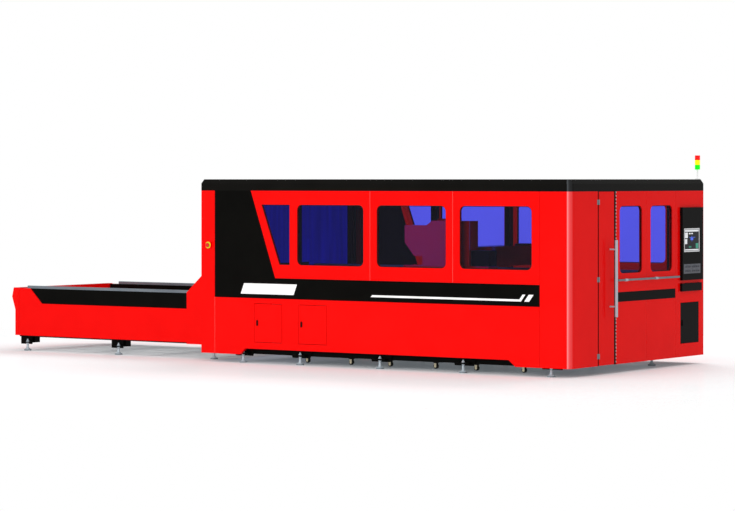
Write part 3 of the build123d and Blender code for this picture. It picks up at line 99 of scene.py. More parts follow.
# Fields of the screen: left, right, bottom and top, as shares of the glass
LIGHT_FIELDS = (
    (0.02, 0.98, 0.90, 0.98),
    (0.02, 0.22, 0.60, 0.86),
    (0.02, 0.18, 0.32, 0.55),
    (0.02, 0.98, 0.02, 0.07),
    (0.30, 0.42, 0.78, 0.84),
    (0.46, 0.58, 0.78, 0.84),
)
BLUE_FIELDS = ((0.42, 0.60, 0.50, 0.60), (0.34, 0.74, 0.62, 0.64), (0.50, 0.52, 0.44, 0.70))
GREEN_FIELDS = ((0.78, 0.96, 0.10, 0.34), (0.30, 0.36, 0.14, 0.22), (0.40, 0.46, 0.14, 0.22))

# Screws of the side door's hinges, whose pins stand at a distance from the near wall
HINGE_LINE = 0.623
HINGE_LEAF = 0.003
SCREW_RADIUS = 0.0042
SCREW_SPREAD = 0.019
SCREW_INSET = 0.017
SCREW_STEPS = 16

# Levelling feet: pads, necks, nuts and washers, and the plates that they carry
PAD_TOP = 0.016
NECK = ((0.032, 0.016), (0.024, 0.026), (0.0145, 0.044), (0.0145, 0.078), (0.0125, 0.081))
NUT_RADIUS = 0.017
NUT_HEIGHT = 0.013
NUT_BEVEL = 0.002
NUT_SIDES = 6
WASHER_RADIUS = 0.021
WASHER_HEIGHT = 0.003
BED_PLATE = (BED_BOTTOM, BED_BOTTOM + 0.018)
LEG_PLATE = (LEG_BOTTOM, LEG_BOTTOM + 0.012)

# Straps of the castors
STRAP_HALF = 0.015
STRAP_HEIGHTS = (0.014, 0.066)
STRAP_CHAMFER = 0.008
STRAP_SHEET = 0.002

# Exchange table: sills under the side panels
TABLE_BOTTOM = 0.194
SILL_HEIGHT = 0.014
SILL_DEPTHS = (0.0135, 0.0205)
SILL_ENDS = (0.010, 0.240)

# Upright plates of the table's leg brackets and of the bed's foot brackets
UPRIGHT_SHEET = 0.004
LEG_SPAN = (-0.140, 0.052)
LEG_DROP = 0.020
LEG_FOLD = 0.012
LEG_SET_BACK = 0.030
BRACKET_HALF = 0.130
BRACKET_DROP = 0.020
BRACKET_TOP = 0.170
BRACKET_SET_BACK = 0.024
BRACKET_SLANT = 0.030

# Emergency stop: yellow disc and mushroom head
DISC_RADIUS = 0.040
DISC_HEIGHT = 0.0012
DISC_STEPS = 40
CAP_HEAD = ((0.022, 0.0), (0.0265, 0.004), (0.0265, 0.008), (0.0215, 0.0128))
CAP_HEAD_BACK = 0.0131
CAP_HEAD_STEPS = 32

# Sleeves of the grab rail
SLEEVE_SHARES = (0.128, 0.619)
SLEEVE_RADIUS = 0.0155
SLEEVE_HALF = 0.030
SLEEVE_BEVEL = 0.003


def along(distance):
    """X at a distance from the operator's end wall."""
    return END_X - distance


def across(distance):
    """Y at a distance from the near wall."""
    return NEAR_Y + distance


# Materials: noise, grain and lacquer, and the painted highlight line over the near right corner in degrees
# and shares
RAMP_ENDS = (0.32, 0.68)
NOISE_DETAIL = 5.0
GRAIN_DETAIL = 3.0
GRAIN_DEPTH = 0.0008
COAT_ROUGHNESS = 0.02
HIGHLIGHT_TURN = 44.0
HIGHLIGHT_LIMITS = (52.0, 46.0)
HIGHLIGHT_STEPS = (
    (24.0, 0.0),
    (29.0, 1.0),
    (33.0, 0.95),
    (41.0, 0.42),
    (52.0, 0.26),
    (64.0, 0.26),
    (76.0, 0.09),
    (84.0, 0.0),
)
PANE_SPREAD = 0.015
PANE_NOISE = 1.6
PANE_IN_SHADOW = (0.97, 0.97, 1.0, 1.0)
PANE_ROUGHNESS = 0.03
PANE_MIRROR = 0.02


def new_material(name):
    mat = bpy.data.materials.new(name)
    mat.use_nodes = True
    return mat, mat.node_tree, mat.node_tree.nodes["Principled BSDF"]


def color_mix(tree):
    """A node that mixes two colours, with its colour inputs and its colour output."""
    mix = tree.nodes.new("ShaderNodeMix")
    mix.data_type = "RGBA"
    colors = [socket for socket in mix.inputs if socket.type == "RGBA"]
    result = [socket for socket in mix.outputs if socket.type == "RGBA"][0]
    return mix, colors, result


def shader_mix(tree, first, second):
    """A node that mixes two shaders."""
    mix = tree.nodes.new("ShaderNodeMixShader")
    tree.links.new(first, mix.inputs[1])
    tree.links.new(second, mix.inputs[2])
    return mix


def mirror_mix(tree, below, roughness, share):
    """A shader with a share of gloss over it."""
    gloss = tree.nodes.new("ShaderNodeBsdfGlossy")
    gloss.inputs["Roughness"].default_value = roughness
    mix = shader_mix(tree, below, gloss.outputs["BSDF"])
    mix.inputs["Fac"].default_value = share
    return mix.outputs["Shader"]


def smooth_range(tree, value, start, end):
    """A value taken to 0 at the start and to 1 at the end, with a smooth rise between."""
    rise = tree.nodes.new("ShaderNodeMapRange")
    rise.interpolation_type = "SMOOTHSTEP"
    rise.inputs["From Min"].default_value = start
    rise.inputs["From Max"].default_value = end
    tree.links.new(value, rise.inputs["Value"])
    return rise.outputs["Result"]


def noise_ramp(tree, scale, dark, light, stretch=(1.0, 1.0, 1.0)):
    """Noise over the object's own coordinates, and a colour ramp on it."""
    coords = tree.nodes.new("ShaderNodeTexCoord")
    mapping = tree.nodes.new("ShaderNodeMapping")
    mapping.inputs["Scale"].default_value = stretch
    tree.links.new(coords.outputs["Object"], mapping.inputs["Vector"])
    noise = tree.nodes.new("ShaderNodeTexNoise")
    noise.inputs["Scale"].default_value = scale
    noise.inputs["Detail"].default_value = NOISE_DETAIL
    tree.links.new(mapping.outputs["Vector"], noise.inputs["Vector"])
    ramp = tree.nodes.new("ShaderNodeValToRGB")
    for stop, position, color in zip(ramp.color_ramp.elements, RAMP_ENDS, (dark, light)):
        stop.position = position
        stop.color = (*color, 1.0)
    tree.links.new(noise.outputs["Fac"], ramp.inputs["Fac"])
    return mapping, noise, ramp


def normal_along(tree, turn):
    """How far the surface, by its own coordinates, faces a level direction."""
    coords = tree.nodes.new("ShaderNodeTexCoord")
    facing = tree.nodes.new("ShaderNodeVectorMath")
    facing.operation = "DOT_PRODUCT"
    facing.inputs[1].default_value = (math.sin(turn), -math.cos(turn), 0.0)
    tree.links.new(coords.outputs["Normal"], facing.inputs[0])
    return facing.outputs["Value"]


def painted_highlight_line(tree, turn):
    """Shares of the painted highlight line, by how far the surface has turned over the corner."""
    side = tree.nodes.new("ShaderNodeMapRange")
    side.inputs["From Min"].default_value = -1.0
    tree.links.new(normal_along(tree, turn + math.pi / 2), side.inputs["Value"])
    line = tree.nodes.new("ShaderNodeValToRGB")
    stops = line.color_ramp.elements
    while len(stops) < len(HIGHLIGHT_STEPS):
        stops.new(1.0)
    for stop, (angle, level) in zip(stops, HIGHLIGHT_STEPS):
        stop.position = (1.0 + math.sin(math.radians(angle - HIGHLIGHT_TURN))) / 2
        stop.color = (level, level, level, 1.0)
    tree.links.new(side.outputs["Result"], line.inputs["Fac"])
    return line.outputs["Color"]


def painted_corner_highlight(tree, color, highlight_paint):
    """Painted highlight: a lighter line where a rounded edge of the piece turns over the near right
    corner.
    """
    turn = math.radians(HIGHLIGHT_TURN)
    limits = [math.cos(math.radians(angle)) for angle in HIGHLIGHT_LIMITS]
    share = tree.nodes.new("ShaderNodeMath")
    share.operation = "MULTIPLY"
    tree.links.new(smooth_range(tree, normal_along(tree, turn), *limits), share.inputs[0])
    tree.links.new(painted_highlight_line(tree, turn), share.inputs[1])
    mix, colors, result = color_mix(tree)
    tree.links.new(share.outputs["Value"], mix.inputs["Factor"])
    tree.links.new(color, colors[0])
    colors[1].default_value = (*highlight_paint, 1.0)
    return result


def add_grain(tree, mapping, shader, strength, scale):
    """Fine relief over the surface."""
    grain = tree.nodes.new("ShaderNodeTexNoise")
    grain.inputs["Scale"].default_value = scale
    grain.inputs["Detail"].default_value = GRAIN_DETAIL
    tree.links.new(mapping.outputs["Vector"], grain.inputs["Vector"])
    relief = tree.nodes.new("ShaderNodeBump")
    relief.inputs["Strength"].default_value = strength
    relief.inputs["Distance"].default_value = GRAIN_DEPTH
    tree.links.new(grain.outputs["Fac"], relief.inputs["Height"])
    tree.links.new(relief.outputs["Normal"], shader.inputs["Normal"])


def surface(name, dark, light, rough, scale=5.0, metallic=0.0, specular=0.5, bump=0.0, bump_scale=500.0,
            stretch=(1.0, 1.0, 1.0), glow=0.0, highlight_paint=None, coat=0.0):
    """Colour, roughness and relief that vary over the surface with noise."""
    mat, tree, shader = new_material(name)
    mapping, noise, ramp = noise_ramp(tree, scale, dark, light, stretch)
    color = painted_corner_highlight(tree, ramp.outputs["Color"], highlight_paint) if highlight_paint else ramp.outputs["Color"]
    tree.links.new(color, shader.inputs["Base Color"])
    spread = tree.nodes.new("ShaderNodeMapRange")
    spread.inputs["To Min"].default_value = rough[0]
    spread.inputs["To Max"].default_value = rough[1]
    tree.links.new(noise.outputs["Fac"], spread.inputs["Value"])
    tree.links.new(spread.outputs["Result"], shader.inputs["Roughness"])
    if bump > 0.0:
        add_grain(tree, mapping, shader, bump, bump_scale)
    # Emission: real light for the lenses and screen; on other paints and metals a painted glow that
    # brightens them
    if glow > 0.0:
        tree.links.new(ramp.outputs["Color"], shader.inputs["Emission Color"])
        shader.inputs["Emission Strength"].default_value = glow
    if coat > 0.0:
        shader.inputs["Coat Weight"].default_value = 1.0
        shader.inputs["Coat Roughness"].default_value = COAT_ROUGHNESS
        shader.inputs["Coat IOR"].default_value = coat
    shader.inputs["Metallic"].default_value = metallic
    shader.inputs["Specular IOR Level"].default_value = specular
    return mat


def pane_material(name, tint):
    """Tinted polycarbonate: light goes straight through, and a little is mirrored."""
    mat, tree, shader = new_material(name)
    tree.nodes.remove(shader)
    dark = [channel * (1.0 - PANE_SPREAD) for channel in tint]
    light = [min(1.0, channel * (1.0 + PANE_SPREAD)) for channel in tint]
    ramp = noise_ramp(tree, PANE_NOISE, dark, light)[2]
    path = tree.nodes.new("ShaderNodeLightPath")
    pale, colors, result = color_mix(tree)
    tree.links.new(path.outputs["Is Shadow Ray"], pale.inputs["Factor"])
    tree.links.new(ramp.outputs["Color"], colors[0])
    colors[1].default_value = PANE_IN_SHADOW
    clear = tree.nodes.new("ShaderNodeBsdfTransparent")
    tree.links.new(result, clear.inputs["Color"])
    pane = mirror_mix(tree, clear.outputs["BSDF"], PANE_ROUGHNESS, PANE_MIRROR)
    tree.links.new(pane, tree.nodes["Material Output"].inputs["Surface"])
    return mat


# Paints
# Red paint; the light line on its rounded near right corner is a painted highlight
RED = surface("red_gloss_paint", (0.78, 0.0018, 0.0014), (0.82, 0.0024, 0.0018), (0.1, 0.14),
              scale=3.0, specular=0.08, highlight_paint=(0.9, 0.23, 0.24))
HOOD_RED = surface("red_lacquer_hoods", (0.74, 0.0018, 0.0014), (0.8, 0.0024, 0.0018), (0.1, 0.14),
                   scale=3.0, specular=0.1, coat=2.4)
# Inner red paint with a painted glow that brightens the inside
INNER_RED_PAINTED_GLOW = surface("red_inner_paint_painted_glow", (0.62, 0.002, 0.002), (0.7, 0.003, 0.003), (0.3, 0.4),
                    scale=3.0, specular=0.1, glow=0.5)
# Pale red of the seam strips: a painted highlight of the folded sheet edges
EDGE_HIGHLIGHT_RED = surface("red_painted_edge_highlights", (0.9, 0.22, 0.2), (0.95, 0.28, 0.26), (0.3, 0.4),
                   scale=9.0, specular=0.3)
BLACK = surface("black_satin_paint", (0.0016, 0.0014, 0.001), (0.0024, 0.0022, 0.0016), (0.3, 0.42),
                scale=4.0, specular=0.07, bump=0.03, bump_scale=1200.0)
# Black roof paint, with a painted highlight where its rounded corner turns over the near right corner
ROOF = surface("black_roof_paint", (0.0028, 0.0024, 0.0018), (0.0042, 0.0038, 0.003), (0.34, 0.46),
               scale=3.0, specular=0.1, bump=0.03, bump_scale=1200.0, highlight_paint=(0.06, 0.065, 0.07))
GREY = surface("grey_machine_paint", (0.085, 0.09, 0.1), (0.12, 0.125, 0.135), (0.45, 0.6),
               scale=6.0, specular=0.35, bump=0.06, bump_scale=800.0)
# The blue of the inner wall is painted light: the blue light through the panes on a pale wall, with a
# painted glow as well
INNER_PAINTED_BLUE_LIGHT = surface("inner_wall_painted_blue_light", (0.03, 0.032, 0.6), (0.05, 0.052, 0.86), (0.4, 0.55),
                     scale=2.5, specular=0.1, stretch=(1.0, 6.0, 0.4), glow=0.16)

# Metals
STEEL = surface("ground_steel", (0.18, 0.215, 0.24), (0.25, 0.285, 0.31), (0.4, 0.5), scale=30.0,
                metallic=0.15, specular=0.2, bump=0.05, bump_scale=300.0, stretch=(1.0, 1.0, 6.0))
BRIGHT = surface("polished_stainless", (0.42, 0.495, 0.555), (0.48, 0.555, 0.61), (0.42, 0.48),
                 scale=6.0, metallic=0.15, specular=0.15, stretch=(1.0, 1.0, 0.2))
RAIL_STEEL = surface("table_rail_steel", (0.24, 0.285, 0.33), (0.33, 0.375, 0.42), (0.34, 0.48),
                     scale=14.0, metallic=0.75, bump=0.06, bump_scale=260.0, stretch=(0.25, 1.0, 1.0))
SLAT = surface("burnt_slat_steel", (0.05, 0.047, 0.046), (0.17, 0.155, 0.145), (0.5, 0.75),
               scale=22.0, metallic=0.7, bump=0.2, bump_scale=160.0)
ALU = surface("machined_aluminium", (0.34, 0.35, 0.37), (0.42, 0.43, 0.45), (0.36, 0.48),
              scale=18.0, metallic=0.5, bump=0.05, bump_scale=400.0)
# Light plated steel of the feet, brightened with a painted glow
FOOT_STEEL = surface("plated_foot_steel_painted_glow", (0.4, 0.47, 0.52), (0.56, 0.63, 0.68), (0.25, 0.35),
                     scale=40.0, metallic=0.3, specular=0.4, glow=0.1)
# Pale brass of the castor straps, brightened with a painted glow
BRASS = surface("pale_brass_painted_glow", (0.62, 0.54, 0.36), (0.76, 0.68, 0.48), (0.3, 0.4),
                scale=60.0, metallic=0.2, glow=0.22)

# Panes, rubber, plastics and film
PANE = pane_material("violet_blue_pane", (0.535, 0.545, 0.937))
RUBBER = surface("black_rubber", (0.006, 0.006, 0.006), (0.011, 0.011, 0.011), (0.6, 0.75),
                 scale=30.0, specular=0.25, bump=0.1, bump_scale=700.0)
PLASTIC = surface("black_moulded_plastic", (0.0024, 0.0022, 0.0022), (0.0038, 0.0034, 0.0034), (0.4, 0.52),
                  scale=20.0, specular=0.1, bump=0.06, bump_scale=1500.0)
KEY_GREY = surface("grey_key_plastic", (0.1, 0.105, 0.125), (0.13, 0.135, 0.155), (0.45, 0.55),
                   scale=20.0, specular=0.3, bump=0.08, bump_scale=1400.0)
KEY_CAP = surface("dark_key_caps", (0.022, 0.024, 0.034), (0.034, 0.036, 0.05), (0.3, 0.4),
                  scale=60.0, specular=0.4)
WHITE = surface("white_film", (0.86, 0.86, 0.86), (0.93, 0.93, 0.93), (0.4, 0.5), scale=8.0, specular=0.3)
BEZEL = surface("light_bezel_plastic", (0.62, 0.63, 0.65), (0.72, 0.73, 0.75), (0.35, 0.45),
                scale=20.0, specular=0.4, bump=0.05, bump_scale=1500.0)
YELLOW = surface("yellow_plastic", (0.62, 0.55, 0.012), (0.72, 0.64, 0.018), (0.35, 0.45),
                 scale=15.0, specular=0.4, bump=0.05, bump_scale=1500.0)
STOP_RED = surface("red_button_plastic", (0.6, 0.008, 0.006), (0.7, 0.012, 0.009), (0.25, 0.35),
                   scale=25.0, specular=0.45)

# Lenses and screen
LENS_RED = surface("red_lens", (0.88, 0.003, 0.003), (0.96, 0.005, 0.005), (0.2, 0.3),
                   scale=40.0, specular=0.3, glow=0.35)
LENS_YELLOW = surface("yellow_lens", (0.9, 0.84, 0.004), (0.97, 0.92, 0.006), (0.2, 0.3),
                      scale=40.0, specular=0.3, glow=0.35)
LENS_GREEN = surface("green_lens", (0.003, 0.88, 0.006), (0.005, 0.96, 0.01), (0.2, 0.3),
                     scale=40.0, specular=0.3, glow=0.35)
SCREEN = surface("screen_dark", (0.004, 0.005, 0.008), (0.008, 0.01, 0.014), (0.12, 0.2),
                 scale=20.0, specular=0.3, glow=0.4)
UI_LIGHT = surface("screen_light_fields", (0.62, 0.64, 0.67), (0.74, 0.76, 0.78), (0.2, 0.3),
                   scale=12.0, glow=0.35)
UI_BLUE = surface("screen_blue_lines", (0.05, 0.1, 0.62), (0.08, 0.16, 0.78), (0.2, 0.3),
                  scale=12.0, glow=0.5)
UI_GREEN = surface("screen_green_field", (0.02, 0.2, 0.13), (0.03, 0.27, 0.18), (0.2, 0.3),
                   scale=12.0, glow=0.4)

# Which CAD node has which material
paints = {
    RED: ("table_side_panels", "table_end_cover", "corner_columns", "near_window_panels",
          "near_lower_wall", "far_wall_panels", "corner_panel", "end_window_panels", "console_panel",
          "table_side_wall", "access_door_1", "access_door_2", "side_door", "stop_plate"),
    HOOD_RED: ("gantry_hoods", "gantry_beam", "carriage_cover"),
    BLACK: ("scrap_carts", "table_frame", "table_bands", "enclosure_frame", "dark_bands", "pallet_gate",
            "gantry_drives", "bed_frame"),
    ROOF: ("roof",),
    GREY: ("upper_pallet_frame", "lower_pallet_frame", "shuttle_motor", "power_cabinet"),
    STEEL: ("door_hinges", "x_guides", "head_slide"),
    FOOT_STEEL: ("levelling_feet",),
    BRIGHT: ("door_handle",),
    RAIL_STEEL: ("table_top_rails", "pallet_tracks", "grab_rail"),
    SLAT: ("upper_pallet_slats", "lower_pallet_slats"),
    ALU: ("head_carriage", "cutting_head"),
    WHITE: ("tower_pole",),
    PANE: ("near_window_panes", "far_window_panes", "end_window_panes"),
    PLASTIC: ("console_housing", "access_latch_1", "access_latch_2", "cabinet_latch", "keyboard_drawer",
              "cabinet_door", "control_cabinet"),
    BEZEL: ("monitor",),
    KEY_GREY: ("key_panel",),
    STOP_RED: ("stop_button",),
    LENS_RED: ("tower_lens_red",),
    LENS_YELLOW: ("tower_lens_yellow",),
    LENS_GREEN: ("tower_lens_green",),
    RUBBER: ("cart_castors",),
}
for mat, names in paints.items():
    for name in names:
        mesh = nodes[name].data
        mesh.materials.clear()
        mesh.materials.append(mat)


def second_finish(name, mat, chosen):
    """Give the faces of a CAD node that are chosen by their corners another material."""
    mesh = nodes[name].data
    mesh.materials.append(mat)
    for poly in mesh.polygons:
        if chosen([mesh.vertices[v].co for v in poly.vertices]):
            poly.material_index = 1


def on_hinge_side(corners):
    """Faces that stand out of the end wall."""
    return max(c.x for c in corners) > END_X + SURFACE_STEP


def inside_table_wall(corners):
    return min(c.x for c in corners) > LEFT_X + SURFACE_STEP


def on_pad(corners):
    return max(c.z for c in corners) < PAD_TOP


def inside_far_wall(corners):
    return max(c.y for c in corners) < FAR_Y - SURFACE_STEP


# Hinge leaves of the door and pads of the feet are bare steel, and two walls have another finish inside:
# painted blue light on the table wall, red paint with a painted glow on the far wall
second_finish("side_door", STEEL, on_hinge_side)
second_finish("table_side_wall", INNER_PAINTED_BLUE_LIGHT, inside_table_wall)
second_finish("levelling_feet", STEEL, on_pad)
second_finish("far_wall_panels", INNER_RED_PAINTED_GLOW, inside_far_wall)

# Mesh helpers: everything is made in the frame's own coordinates, in metres
MERGE_DISTANCE = 0.00001
HULL_DIGITS = 6
HULL_TURN = 1e-9


def finish_piece(name, bm, mat, body, smooth=False):
    """Turn a mesh into a piece that rides on a body."""
    bmesh.ops.recalc_face_normals(bm, faces=bm.faces)
    mesh = bpy.data.meshes.new(name)
    bm.to_mesh(mesh)
    bm.free()
    mesh.materials.append(mat)
    for poly in mesh.polygons:
        poly.use_smooth = smooth
    obj = bpy.data.objects.new(name, mesh)
    bpy.context.scene.collection.objects.link(obj)
    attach(obj, body)


def place(wall, u, v, w):
    """A point from wall coordinates: u along the wall, v up, w out of the wall."""
    if wall == "near":
        return Vector((u, NEAR_Y - w, v))
    if wall == "far":
        return Vector((u, FAR_Y + w, v))
    return Vector((END_X + w, u, v))


def prism(bm, wall, points, back, front):
    """A flat shape on a wall, between two distances out of it."""
    low = [bm.verts.new(place(wall, u, v, back)) for u, v in points]
    high = [bm.verts.new(place(wall, u, v, front)) for u, v in points]
    bm.faces.new(high)
    bm.faces.new(list(reversed(low)))
    for i in range(len(points)):
        j = (i + 1) % len(points)
        bm.faces.new((low[i], low[j], high[j], high[i]))


def box_points(u0, u1, v0, v1):
    return [(u0, v0), (u1, v0), (u1, v1), (u0, v1)]


def inset(points, width):
    """A convex outline, anticlockwise, with each side moved inwards."""
    lines = []
    for (u0, v0), (u1, v1) in zip(points, points[1:] + points[:1]):
        length = math.hypot(u1 - u0, v1 - v0)
        normal = (-(v1 - v0) / length, (u1 - u0) / length)
        lines.append((normal, normal[0] * u0 + normal[1] * v0 + width))
    moved = []
    for (m, c), (n, d) in zip(lines[-1:] + lines[:-1], lines):
        cross = m[0] * n[1] - m[1] * n[0]
        moved.append(((c * n[1] - d * m[1]) / cross, (m[0] * d - n[0] * c) / cross))
    return moved


def frame_ring(bm, wall, outer, inner, back, front):
    """A rim between two outlines with as many points each."""
    loops = []
    for points, w in ((outer, back), (outer, front), (inner, front), (inner, back)):
        loops.append([bm.verts.new(place(wall, u, v, w)) for u, v in points])
    for a, b in zip(loops, loops[1:] + loops[:1]):
        for i in range(len(outer)):
            j = (i + 1) % len(outer)
            bm.faces.new((a[i], a[j], b[j], b[i]))


def turned(bm, origin, axis, profile, steps=24):
    """A round or many-sided body about an axis, from pairs of radius and height."""
    axis = Vector(axis)
    side = axis.orthogonal().normalized()
    up = axis.cross(side)
    rings = []
    for radius, height in profile:
        ring = []
        for i in range(steps):
            turn = 2.0 * math.pi * i / steps
            arm = side * (radius * math.cos(turn)) + up * (radius * math.sin(turn))
            ring.append(bm.verts.new(Vector(origin) + axis * height + arm))
        rings.append(ring)
    for a, b in zip(rings, rings[1:]):
        for i in range(steps):
            j = (i + 1) % steps
            bm.faces.new((a[i], a[j], b[j], b[i]))
    bm.faces.new(rings[-1])
    bm.faces.new(list(reversed(rings[0])))


def islands(name):
    """The corner points of each loose part of a CAD node."""
    bm = bmesh.new()
    bm.from_mesh(nodes[name].data)
    bmesh.ops.remove_doubles(bm, verts=bm.verts, dist=MERGE_DISTANCE)
    seen = set()
    groups = []
    for first in bm.verts:
        if first in seen:
            continue
        seen.add(first)
        queue = [first]
        group = []
        while queue:
            vert = queue.pop()
            group.append(vert.co.copy())
            for edge in vert.link_edges:
                other = edge.other_vert(vert)
                if other not in seen:
                    seen.add(other)
                    queue.append(other)
        groups.append(group)
    bm.free()
    return groups


def middle(values):
    """Half-way between the smallest and the largest value."""
    values = list(values)
    return (min(values) + max(values)) / 2


def hull(points):
    """The convex outline of flat points, anticlockwise."""
    points = sorted(set((round(u, HULL_DIGITS), round(v, HULL_DIGITS)) for u, v in points))
    chains = []
    for run in (points, points[::-1]):
        chain = []
        for p in run:
            while len(chain) > 1:
                (u0, v0), (u1, v1) = chain[-2:]
                if (u1 - u0) * (p[1] - v0) - (v1 - v0) * (p[0] - u0) > HULL_TURN:
                    break
                chain.pop()
            chain.append(p)
        chains.append(chain[:-1])
    return chains[0] + chains[1]


# Bare plate and plain stripe on the dark band
def slanted_points(span, heights, slant):
    (start, stop), (low, high) = span, heights
    return [
        (along(start), low),
        (along(stop), low),
        (along(stop - slant), high),
        (along(start - slant), high),
    ]


def stripe_points():
    """A long bar whose end turns up at a slant."""
    low, high = STRIPE_HEIGHTS
    bar_top = low + STRIPE_THICKNESS
    tip_end = STRIPE_TURN - STRIPE_SLANT
    tip_start = tip_end + STRIPE_TIP
    rise = STRIPE_SLANT * (high - bar_top) / (high - low)
    return [
        (along(STRIPE_START), low),
        (along(STRIPE_TURN), low),
        (along(tip_end), high),
        (along(tip_start), high),
        (along(tip_start + rise), bar_top),
        (along(STRIPE_START - STRIPE_THICKNESS), bar_top),
    ]


def band_plate():
    bm = bmesh.new()
    prism(bm, "near", slanted_points(PLATE_SPAN, PLATE_HEIGHTS, PLATE_SLANT), -FILM_ROOT, FILM)
    finish_piece("band_plate", bm, WHITE, "machine")


def band_stripe():
    bm = bmesh.new()
    prism(bm, "near", stripe_points(), -FILM_ROOT, FILM)
    prism(bm, "near", slanted_points(DASH_SPAN, STRIPE_HEIGHTS, STRIPE_SLANT), -FILM_ROOT, FILM)
    finish_piece("band_stripe", bm, WHITE, "machine")


def end_band():
    """Plain dark film on the end wall."""
    bm = bmesh.new()
    film_y = [across(d) for d in END_FILM_SPAN]
    prism(bm, "end", box_points(*film_y, *END_FILM_HEIGHTS), -FILM_ROOT, FILM)
    finish_piece("end_band", bm, BLACK, "machine")


band_plate()
band_stripe()
end_band()


# Seals, seams with painted highlight strips, and clips of the walls
def pane_seals(wall):
    """Rubber seals round the panes of a wall."""
    bm = bmesh.new()
    for pane in islands(wall + "_window_panes"):
        edge = hull([(p.y if wall == "end" else p.x, p.z) for p in pane])
        frame_ring(bm, wall, inset(edge, SEAL_GAP), inset(edge, SEAL_WIDTH), *SEAL_DEPTHS)
    finish_piece(wall + "_pane_seals", bm, RUBBER, "machine")


def seam(bm, wall, start, bottom, top):
    prism(bm, wall, box_points(start, start + SEAM_WIDTH, bottom, top), *SEAM_DEPTHS)


def seam_highlights():
    """Light strips in the seams of the panels and beside the near left column: painted highlights of the
    folded edges.
    """
    bm = bmesh.new()
    panel_starts = sorted(min(p.x for p in panel) for panel in islands("near_window_panels"))
    for panel_start in reversed(panel_starts[1:]):
        seam(bm, "near", panel_start - SEAM_WIDTH, WINDOW_PANEL_BOTTOM, ROOF_BOTTOM)
    end_seam = min(max(p.y for p in panel) for panel in islands("end_window_panels"))
    seam(bm, "end", end_seam, SKIRT_BOTTOM, ROOF_BOTTOM)
    console_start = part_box("console_panel")[0].y
    seam(bm, "end", console_start - SEAM_WIDTH, SKIRT_BOTTOM, ROOF_BOTTOM)
    seam(bm, "near", COLUMN_END, SKIRT_BOTTOM, BAND_BOTTOM)
    finish_piece("seam_highlights", bm, EDGE_HIGHLIGHT_RED, "machine")


def post_clips():
    """Row of bright clips along the dark post."""
    bm = bmesh.new()
    clip_y = [across(d) for d in CLIP_SPAN]
    clip_z = SKIRT_BOTTOM + CLIP_PITCH / 2
    while clip_z + CLIP_HEIGHT < ROOF_BOTTOM:
        prism(bm, "end", box_points(*clip_y, clip_z, clip_z + CLIP_HEIGHT), *CLIP_DEPTHS)
        clip_z += CLIP_PITCH
    finish_piece("post_clips", bm, WHITE, "machine")


for wall in ("near", "far", "end"):
    pane_seals(wall)
seam_highlights()
post_clips()

# Monitor: dark glass with plain fields
monitor_low, monitor_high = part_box("monitor")
GLASS_Y = (monitor_low.y + SCREEN_BEZEL, monitor_high.y - SCREEN_BEZEL)
GLASS_Z = (monitor_low.z + SCREEN_BEZEL, monitor_high.z - SCREEN_BEZEL)
GLASS_BACK = monitor_high.x - END_X - SCREEN_RECESS
GLASS_FRONT = GLASS_BACK + SCREEN_THICKNESS


def screen_glass():
    bm = bmesh.new()
    prism(bm, "end", box_points(*GLASS_Y, *GLASS_Z), GLASS_BACK - FILM_ROOT, GLASS_FRONT)
    finish_piece("screen_glass", bm, SCREEN, "machine")


def share_of(span, share):
    return span[0] + share * (span[1] - span[0])


def screen_fields(name, shares, mat):
    bm = bmesh.new()
    for left, right, bottom, top in shares:
        field = box_points(
            share_of(GLASS_Y, left),
            share_of(GLASS_Y, right),
            share_of(GLASS_Z, bottom),
            share_of(GLASS_Z, top),
        )
        prism(bm, "end", field, GLASS_FRONT - FILM_ROOT, GLASS_FRONT + FIELD_THICKNESS)
    finish_piece(name, bm, mat, "machine")


screen_glass()
screen_fields("screen_light", LIGHT_FIELDS, UI_LIGHT)
screen_fields("screen_blue", BLUE_FIELDS, UI_BLUE)
screen_fields("screen_green", GREEN_FIELDS, UI_GREEN)


# Key caps and hinge screws
def key_caps():
    """Caps on the round keys, in two rows of two groups."""
    bm = bmesh.new()
    keys_low, keys_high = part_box("key_panel")
    key_count = sum(KEY_GROUPS)
    key_first = (keys_low.y + keys_high.y - (key_count - 1) * KEY_PITCH - KEY_GROUP_GAP) / 2
    key_middle = (keys_low.z + keys_high.z) / 2
    cap = [
        (CAP_RADIUS, -FILM_ROOT),
        (CAP_RADIUS, CAP_HEIGHT - CAP_BEVEL),
        (CAP_RADIUS - CAP_BEVEL, CAP_HEIGHT),
    ]
    for column in range(key_count):
        group_gap = KEY_GROUP_GAP if column >= KEY_GROUPS[0] else 0.0
        key_y = key_first + column * KEY_PITCH + group_gap
        for row in (-1, 1):
            key_z = key_middle + row * KEY_ROWS_PITCH / 2
            turned(bm, (keys_high.x, key_y, key_z), (1, 0, 0), cap, CAP_STEPS)
    finish_piece("key_caps", bm, KEY_CAP, "machine")


def hinge_screws(body, side):
    """Screws in the hinge leaves on one side of the pins."""
    bm = bmesh.new()
    screw = [(SCREW_RADIUS, -FILM_ROOT), (SCREW_RADIUS, FILM), (SCREW_RADIUS / 2, 2 * FILM)]
    screw_y = across(HINGE_LINE) + side * SCREW_INSET
    for leaf in islands("door_hinges"):
        for end in (-1, 1):
            screw_z = middle(p.z for p in leaf) + end * SCREW_SPREAD
            turned(bm, (END_X + HINGE_LEAF, screw_y, screw_z), (1, 0, 0), screw, SCREW_STEPS)
    finish_piece(body + "_hinge_screws", bm, STEEL, body, smooth=True)


key_caps()
hinge_screws("machine", -1)
hinge_screws("side_door", 1)

# Levelling feet and castors
stud_spots = [(middle(p.x for p in stud), middle(p.y for p in stud)) for stud in islands("levelling_feet")]


